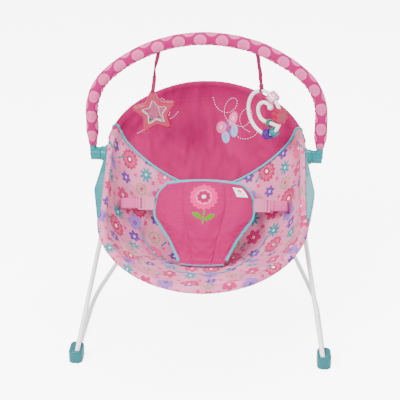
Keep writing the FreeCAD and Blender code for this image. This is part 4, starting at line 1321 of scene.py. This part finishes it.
# stitched looping flight trails on the head panel
TRAILS = [
    [(-150, 92), (-136, 101), (-121, 110), (-108, 116), (-93, 124), (-84, 132), (-88, 140), (-100, 141),
    (-108, 134), (-104, 126), (-92, 123), (-78, 128), (-66, 136)],
    [(10, 155), (17, 147), (30, 141), (47, 139), (60, 143), (62, 149), (50, 152), (38, 148), (35, 139), (43, 130),
    (57, 124), (76, 119), (90, 123), (95, 131), (88, 138), (75, 137), (69, 129), (76, 118), (90, 111)],
    [(58, 112), (70, 105), (84, 102), (98, 103), (110, 108)],
]
trail_runs = [even_path(sling_line(t, 160, 0.5), 1.0)[0] for t in TRAILS]
stitch_piece("trail_stitches", trail_runs, THREAD_WHITE, 3.4, 5.4, 1.2)
# grey-blue piping across the front of the floral panel
LEFT_PIPING = [(-132, -62), (-108, -98), (-90, -128), (-74, -160), (-54, -186), (-28, -199)]
FRONT_PIPING = [*LEFT_PIPING, (0, -203), *((-x, y) for x, y in reversed(LEFT_PIPING))]
cord_piece("front_piping", sling_line(FRONT_PIPING, 180, 0.7), PIPING, 1.5)

# ---------------------------------------------------------------- binding and stitches of the restraint panel
rows, cols = PANEL_FRONT.shape[:2]


def over_panel(places):
    """Points over the restraint panel's front from its rows, columns and heights."""
    return [PANEL_FRONT[i, j] + PANEL_NORMAL[i, j] * lift for i, j, lift in places]


EDGE_DROP = -0.6
low_row = int(rows * 0.93)
edge_at = [(i, 0, EDGE_DROP) for i in range(low_row, 0, -1)] + [(0, j, EDGE_DROP) for j in range(cols)]
edge_at += [(i, cols - 1, EDGE_DROP) for i in range(1, low_row)]
edge_path = np.array(over_panel(edge_at))
edge_ups = np.array([PANEL_NORMAL[i, j] for i, j, _ in edge_at])
even_out(edge_path, 10)
even_out(edge_ups, 10)
wobble = [1 + 0.07 * noise.noise((i * 0.31, 2.0, 5.0)) for i in range(len(edge_path))]
BINDING_WIDE, BINDING_THICK = 3.6, 2.5


def rounded(value, power):
    return math.copysign(abs(value) ** power, value)


turns = [2 * math.pi * n / 20 for n in range(20)]
profiles = [
    [(BINDING_WIDE * k * rounded(math.cos(a), 0.75), BINDING_THICK * k * rounded(math.sin(a), 0.8)) for a in turns]
    for k in wobble
]
binding = as_piece("panel_binding", *sweep(edge_path, profiles, edge_ups), BINDING)
face_out(binding)
settle(binding, "seat")
low_row = int(rows * 0.92)
inner_at = [(i, 2, 1.2) for i in range(low_row, 2, -1)] + [(3, j, 1.5) for j in range(2, cols - 2)]
inner_at += [(i, cols - 3, 1.2) for i in range(3, low_row)]
inner_run = even_path(over_panel(inner_at), 1.0)[0]
stitch_piece("binding_stitches", [inner_run], BINDING, 2.2, 3.4, 0.6)
low_edge = over_panel((rows - 2, j, 0.8) for j in range(cols))
cord_piece("crotch_piping", low_edge, PIPING, 1.7)


# ---------------------------------------------------------------- webbing
def ribbon(path, width, thick, ups, start=0.0):
    """A woven strap along a path: points, faces and flat places."""
    a, b = width / 2, thick / 2
    half = [(-a + 0.4, b), (-a * 0.5, b), (0, b), (a * 0.5, b), (a - 0.4, b), (a, b * 0.4), (a, -b * 0.4)]
    profile = half + [(-x, -y) for x, y in half]
    verts, faces = sweep(path, profile, ups=ups)
    at = distances(np.array(path)) + start
    uv = [(float(s), p[0] + (0 if p[1] > 0 else 40)) for s in at for p in profile]
    return verts, faces, uv


def join_parts(parts):
    verts, faces, uv = [], [], []
    for v, f, u in parts:
        first = len(verts)
        verts += list(v)
        faces += [tuple(i + first for i in face) for face in f]
        uv += list(u)
    return verts, faces, uv


def strap_piece(name, parts, body, material, stands_for):
    verts, faces, uv = join_parts(parts)
    obj = as_piece(name, verts, faces, material, uv=uv)
    face_out(obj, weld=False)
    settle(obj, body, stands_for)
    return obj


TILT = math.radians(56.0)
WIDE = np.array((0, -math.cos(TILT), -math.sin(TILT)))
THICK = np.array((0, -math.sin(TILT), math.cos(TILT)))
BUCKLE = np.array((0, SY - 79.0, 251.0))
SEWN_HALF = 8.4


def webbing_place(sign, x, near, far):
    """A point along a waist strap, which settles onto the cloth at its sewn end."""
    ripple = 0.35 * math.sin((x - near) * 0.26) * min(1.0, (x - near) / 8)
    point = BUCKLE + np.array((sign * x, 0, 0)) + THICK * ripple
    hit = SLING_TREE.ray_cast(Vector((point + THICK * 8) * MM), Vector(-THICK), 0.024)[0]
    if hit is None:
        return point
    above = float(np.dot(point - np.array(hit) / MM, THICK))
    return point - THICK * (above - 1.1) * ease(x, far - 24, far - 8)


for side, sign in (("left", -1.0), ("right", 1.0)):
    low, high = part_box(f"waist_strap_{side}")
    near, far = sorted((abs(low.x) * 1000, abs(high.x) * 1000))
    main = [webbing_place(sign, near + 0.3 + (far - near - 0.6) * k / 47, near, far) for k in range(48)]
    for _ in range(2):
        main[1:-1] = [(a + b * 2 + c) / 4 for a, b, c in zip(main, main[1:], main[2:])]
    tail = []
    for k in range(12):
        x = near + 1.0 + 13.0 * k / 11
        tail.append(BUCKLE + np.array((sign * x, 0, 0)) + THICK * (1.75 + 0.1 * math.sin(k)))
    parts = [ribbon(main, 21.6, 1.45, THICK), ribbon(tail, 21.2, 1.3, THICK, 60.0)]
    strap = strap_piece(f"waist_webbing_{side}", parts, "seat", WEB_PINK, (f"waist_strap_{side}",))
    # a sewn box with a cross inside it
    ends = [p + THICK * 0.8 for p in main if far - 13 < abs(p[0]) < far - 1.8]
    rows = [[p + WIDE * w for p in ends] for w in (-SEWN_HALF, SEWN_HALF)]
    rows += [[ends[k] + WIDE * w for w in np.linspace(-SEWN_HALF, SEWN_HALF, 12)] for k in (0, -1)]
    for reach in (-SEWN_HALF, SEWN_HALF):
        rows.append([p + WIDE * w for p, w in zip(ends, np.linspace(-reach, reach, len(ends)))])
    sewn = stitch_piece(f"waist_stitches_{side}", rows, THREAD_PINK, 1.9, 2.7, 0.6)
    for piece in (strap, sewn):
        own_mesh(piece)

BUCKLE_PINK = moulded("buckle_pink", "C86891", 0.34, 0.06, 0.2, 0.08)
for side in ("left", "right"):
    moulded_copy(f"buckle_socket_{side}", f"buckle_body_{side}", "seat", BUCKLE_PINK, 0.42, 4)
    moulded_copy(f"buckle_plug_{side}", f"buckle_tongue_{side}", f"plug_{side}", BUCKLE_PINK, 0.42,
        4)


UNDER_SLEEVE = 9.5


def hang_strap(name, centre, along, foot, body, stands_for, bow, twist, extra=()):
    """A toy's strap, sewn into the underside of the bar's sleeve."""
    centre, foot = np.asarray(centre, float), np.asarray(foot, float)
    down = unit(np.cross(unit(along), (0, 1.0, 0)))
    if down[2] > 0:
        down = -down
    start = centre + down * UNDER_SLEEVE
    path, ups = [], []
    for t in np.arange(72) / 71:
        p = start * (1 - t) + foot * t
        free = math.pi * min(1.0, t / 0.8)
        p = p + np.array((bow, 0.7 * bow, 0)) * math.sin(free) + np.array((0.5, 0.9, 0)) * math.sin(3 * free)
        path.append(p)
        turn = 0.25 * math.sin(free) + 0.9 * ease(t, 0.72, 1.0) * (1 if body == "ring_hanger" else 0)
        turn += twist * math.exp(-((t - 0.42) / 0.16) ** 2)
        ups.append((math.sin(turn), -math.cos(turn), 0))
    return strap_piece(name, [ribbon(path, 8.2, 1.1, np.array(ups))] + list(extra), body, WEB_DARK,
        stands_for)


# ---------------------------------------------------------------- the hanging toys
STAR = moulded("star_coral", "9F0B3D", 0.22, 0.04, 0.25, 0.0)
RING_WHITE = moulded("ring_white", "ECECEC", 0.22, 0.04, 0.5, 0.12, 0.96)
BEAD_TEAL = moulded("bead_teal", "0B767D", 0.16, 0.03, 0.6, 0.1)
BEAD_PURPLE = moulded("bead_purple", "4F1E82", 0.2, 0.03, 0.5, 0.08)
BEAD_LIME = moulded("bead_lime", "6B870B", 0.22, 0.03, 0.4, 0.1)
WHEEL_RED = moulded("wheel_red", "9D0B3A", 0.22, 0.03, 0.3, 0.02)
BALL_YELLOW = moulded("ball_yellow", "8C760B", 0.18, 0.02, 0.6, 0.1)
BALL_TEAL = moulded("ball_teal", "0B767F", 0.18, 0.02, 0.6, 0.1)


def pearl():
    made, w = new_material("bead_pearl", "E095B3", 0.25, Metallic=0.18, Coat_Weight=0.6, Coat_Roughness=0.08,
        Subsurface_Weight=0.15, Subsurface_Scale=0.003)
    swirl = w.noise(w.vmath("MULTIPLY", w.place(), (0.16, 0.16, 0.3)), 1.0, 4.0, 0.6)
    w.dress(Base_Color=w.mix(w.step(swirl, 0.35, 0.68), "CF7197", "ECBDCF"))
    w.dress(Roughness=0.16 + swirl * 0.2, Normal=w.bump(swirl, 0.15, 0.2 * MM))
    return made


def clear_window():
    made, w = new_material("clear_pane", (0.97, 0.98, 0.99, 1.0), 0.02, Transmission_Weight=1.0, IOR=1.2,
        Coat_Weight=0.15, Coat_Roughness=0.02)
    smear = w.noise(w.vmath("MULTIPLY", w.place(), (0.3, 0.3, 0.05)), 1.0, 3.0)
    w.dress(Roughness=0.004 + smear * 0.02)
    w.dress(Normal=w.bump(w.noise(w.place(), 0.12, 1.0), 0.1, 0.15 * MM))
    return made


# A silvery metal sheet lining the star, standing in for the reflections on the clear plastic's inner walls; its
# colour is also painted darker where the crinkles are low.
def silver_reflection_liner():
    made, w = new_material("silver_foil", (0.82, 0.82, 0.86, 1.0), 0.2, Metallic=0.9)
    cell = w.add("ShaderNodeTexVoronoi", Vector=w.place(), Scale=0.22).outputs["Distance"]
    fold = w.noise(w.place(), 0.35, 3.0, 0.6)
    w.dress(Base_Color=w.mix(fold, (0.72, 0.70, 0.78, 1.0), (0.9, 0.9, 0.93, 1.0)))
    w.dress(Roughness=0.12 + fold * 0.2, Normal=w.bump(cell + fold, 0.6, 0.5 * MM))
    return made


def red_mirror():
    made, w = new_material("wheel_mirror", "980B33", 0.12, Metallic=0.55, Coat_Weight=0.4, Coat_Roughness=0.03)
    smear = w.noise(w.place(), 0.3, 3.0)
    w.dress(Base_Color=w.mix(w.step(smear, 0.4, 0.7), "80132F", "A60B3E"), Roughness=0.05 + smear * 0.1)
    return made


PEARL = pearl()
for node, piece, body, material, slot, voxel, relax in (
    ("star_ring", "star_body", "star_toy", STAR, "star_coral", 0.6, 9),
    ("c_ring", "hook_ring", "ring_toy", RING_WHITE, "ring_white", 0.55, 6),
    ("pink_bead", "fluted_bead", "pink_bead", PEARL, "bead_pink", 0.4, 8),
    ("teal_bead", "round_bead", "teal_bead", BEAD_TEAL, "bead_aqua", 0.4, 26),
    ("purple_bead", "ribbed_bead", "purple_bead", BEAD_PURPLE, "bead_purple", 0.4, 10),
    ("lime_ring", "lime_washer", "lime_ring", BEAD_LIME, "bead_lime", 0.3, 8),
    ("aqua_ring", "aqua_washer", "aqua_ring", BEAD_TEAL, "bead_aqua", 0.3, 8),
    ("flower_wheel", "petal_wheel", "ring_toy", WHEEL_RED, "wheel_red", 0.45, 8),
):
    moulded_copy(node, piece, body, material, voxel, relax)
finish_node("wheel_mirror", red_mirror())
PANE = clear_window()
finish_node("star_pane_front", PANE)
finish_node("star_pane_back", PANE)
# the liner is a silver stand-in for the reflections inside the clear star
finish_node("star_liner", silver_reflection_liner())
finish_node("star_ball_left", BALL_YELLOW)
finish_node("star_ball_aqua", BALL_TEAL)
finish_node("star_ball_right", BALL_YELLOW)

STAR_BAR = (-99.8, SY, 565.927)
star_foot = (-111.7, SY, 460.0)
hang_strap("star_webbing", STAR_BAR, (0.943133, 0, 0.332415), star_foot, "star_toy",
    ("star_strap",), -1.6, 0.9)

RING_BAR = (106.0, SY, 563.665)
RING_N = np.array((0.7071, 0.7071, 0))
LOOP = np.array((114.352, SY + 5.649, 472.301))
loop_out = unit(LOOP - np.array((120.0, SY, 427.0)))
loop_path, loop_ups = [], []
for k in range(41):
    a = 2 * math.pi * k / 40
    way = loop_out * math.cos(a) + RING_N * math.sin(a)
    loop_path.append(LOOP + way * (4.75 + 1.2 * max(0.0, math.cos(a)) ** 6))
    loop_ups.append(way)
knot_path, knot_ups = [], []
knot = LOOP + loop_out * 10.5
for k in range(61):
    a = 2 * math.pi * k / 60
    knot_path.append(knot + np.array((math.sin(a) * 3.4, -math.cos(a) * 3.2,
        1.5 * math.sin(2 * a) + 0.9 * math.cos(a))))
    knot_ups.append((math.sin(a), -math.cos(a), 0.2))
hang_strap("ring_webbing", RING_BAR, (0.935598, 0, -0.353066), knot + np.array((0, 0, 2.0)), "ring_hanger",
    ("ring_strap",), 1.2, 0.3,
           [ribbon(loop_path, 7.0, 1.0, np.array(loop_ups)), ribbon(knot_path, 6.5, 2.2, np.array(knot_ups))])

# ---------------------------------------------------------------- the sewn-in tag
def tag_print(w, place, ground):
    """A made-up mark: a small five-petal flower over two short lines."""
    x, y, _ = w.split(place)
    flower = w.use(PETALS, Place=w.vmath("SUBTRACT", place, (0.0, 3.4, 0.0)), Count=5.0, Reach=2.7, Long=2.5,
        Wide=1.7, Turn=1.57)
    shown = w.mix(below(w, flower["Edge"], 1.0, 0.12), ground, "BC0B3B")
    shown = w.mix(below(w, flower["Radius"], 1.1, 0.25), shown, "ECECEC")
    for level, half in ((-4.4, 6.6), (-7.2, 4.4)):
        bar = line_at(w, y, level, 0.6, 0.2) * line_at(w, x, 0.0, half, 0.3)
        shown = w.mix(bar, shown, "BC0B3B")
    return shown


def tag_piece():
    tree = surface_tree(pad)
    down, across = PANEL_FRONT.shape[:2]
    nu, nv = 23, 25
    top, uv = [], []
    for i in range(nv):
        for j in range(nu):
            a, b = (j / (nu - 1) - 0.5) * 22.0, (0.5 - i / (nv - 1)) * 24.0
            column = ((73.0 + a * 0.97 - b * 0.2) / 100.0 * 0.5 + 0.5) * (across - 1)
            row = (31.5 - b - a * 0.18) / 190.0 * (down - 1)
            c, r = min(int(column), across - 2), max(0, min(int(row), down - 2))
            fc, fr = column - c, row - r
            spot = sum(PANEL_FRONT[r + q, c + p] * ((fc if p else 1 - fc) * (fr if q else 1 - fr)) for p in (0, 1)
                for q in (0, 1))
            way = unit(PANEL_NORMAL[r, c])
            hit = tree.ray_cast(Vector((spot + way * 14) * MM), Vector(-way), 0.05)[0]
            base = np.array(hit) / MM if hit is not None else spot
            curl = 0.5 * max(0.0, -b / 12) ** 3
            top.append((base, way, curl))
            uv.append((a, b))
    for _ in range(3):
        smooth = [t[0] for t in top]
        for i in range(1, nv - 1):
            for j in range(1, nu - 1):
                k = i * nu + j
                smooth[k] = (top[k][0] * 2 + top[k - 1][0] + top[k + 1][0] + top[k - nu][0] + top[k + nu][0]) / 6
        top = [(p, t[1], t[2]) for p, t in zip(smooth, top)]
    verts = [p + way * (1.25 + curl) for p, way, curl in top] + [p + way * (0.35 + curl * 0.6) for p, way,
        curl in top]
    obj = as_piece("sewn_tag", verts, shell_faces(nv, nu),
        cloth("tag_white", "ECECEC", "ECEAEC", tag_print, 0.5, 0.1, 0.6, 0.05), uv=uv * 2)
    face_out(obj)
    settle(obj, "seat", ("label_tag",))
    hem = [verts[k] + top[k][1] * 0.1 for k in [i * nu + 1 for i in range(1, nv - 1)]]
    other = [verts[k] + top[k][1] * 0.1 for k in [i * nu + nu - 2 for i in range(1, nv - 1)]]
    stitch_piece("tag_stitches", [hem, other], THREAD_WHITE, 1.3, 2.1, 0.35)


tag_piece()


# ---------------------------------------------------------------- floor, light and camera
def soft_light(name, place, aim, size, power):
    data = bpy.data.lights.new(name, "AREA")
    data.shape = "RECTANGLE"
    data.size, data.size_y = size
    data.energy = power
    light = place_object(name, data)
    light.location = place
    light.rotation_euler = (Vector(aim) - Vector(place)).to_track_quat("-Z", "Y").to_euler()


# sizes of the floor and the camera's place, in metres
WIDE_FLOOR, BEND_Y, BEND, FLOOR_DROP = 40.0, 5.2, 3.0, 0.0002
CAMERA_REACH, CAMERA_LENS = 2.4, 105.4
CAMERA_UP, CAMERA_TURN = math.radians(24.0), math.radians(2.7)
CAMERA_TARGET = Vector((-0.008, -0.0721, 0.2706))


def make_stage():
    made, w = new_material("pale_floor", (0.86, 0.86, 0.86, 1.0), 0.75)
    w.dress(Base_Color=w.mix(w.noise(w.place(), 0.004, 2.0), (0.85, 0.85, 0.85, 1.0), (0.88, 0.88, 0.88, 1.0)))
    w.dress(Emission_Color=(1.0, 1.0, 1.0, 1.0))
    seen = Value(w, w.add("ShaderNodeLightPath").outputs["Is Camera Ray"])
    w.dress(Emission_Strength=0.35 + seen * 6.0)
    mesh = bpy.data.meshes.new("floor")
    rows = []
    faces = []
    turns = [math.radians(a) for a in range(6, 91, 6)]
    curve = [(BEND_Y + BEND * math.sin(a), BEND - BEND * math.cos(a)) for a in turns]
    bend = [(-WIDE_FLOOR, 0.0), (BEND_Y, 0.0), *curve, (BEND_Y + BEND, 9.0)]
    for y, z in bend:
        rows += [(-WIDE_FLOOR, y, z - FLOOR_DROP), (WIDE_FLOOR, y, z - FLOOR_DROP)]
    for i in range(len(bend) - 1):
        faces.append((2 * i, 2 * i + 1, 2 * i + 3, 2 * i + 2))
    mesh.from_pydata(rows, [], faces)
    shade_smooth(mesh)
    mesh.materials.append(made)
    floor = place_object("floor", mesh)
    world = bpy.data.worlds.new("studio")
    bpy.context.scene.world = world
    world.use_nodes = True
    shade = next(n for n in world.node_tree.nodes if n.type == "BACKGROUND")
    shade.inputs["Color"].default_value = (1.0, 1.0, 1.0, 1.0)
    sky = Web(world.node_tree)
    seen = Value(sky, sky.add("ShaderNodeLightPath").outputs["Is Camera Ray"])
    sky.put(shade.inputs["Strength"], 0.8 + seen * 6.0)
    soft_light("key_light", (-1.5, -1.9, 2.1), (0, 0, 0.25), (1.5, 1.2), 160)
    soft_light("fill_light", (1.9, -1.4, 1.5), (0, 0, 0.25), (1.6, 1.2), 50)
    soft_light("top_light", (0.2, 0.6, 2.6), (0, 0, 0.2), (1.4, 1.2), 70)


def make_camera():
    data = bpy.data.cameras.new("camera")
    data.lens = CAMERA_LENS
    data.sensor_width = 36.0
    data.clip_start = 0.05
    data.clip_end = 60.0
    camera = place_object("camera", data)
    level = math.cos(CAMERA_UP)
    away = Vector((level * math.sin(CAMERA_TURN), -level * math.cos(CAMERA_TURN), math.sin(CAMERA_UP)))
    camera.location = CAMERA_TARGET + CAMERA_REACH * away
    camera.rotation_euler = (CAMERA_TARGET - camera.location).to_track_quat("-Z", "Y").to_euler()
    bpy.context.scene.camera = camera


make_stage()
make_camera()
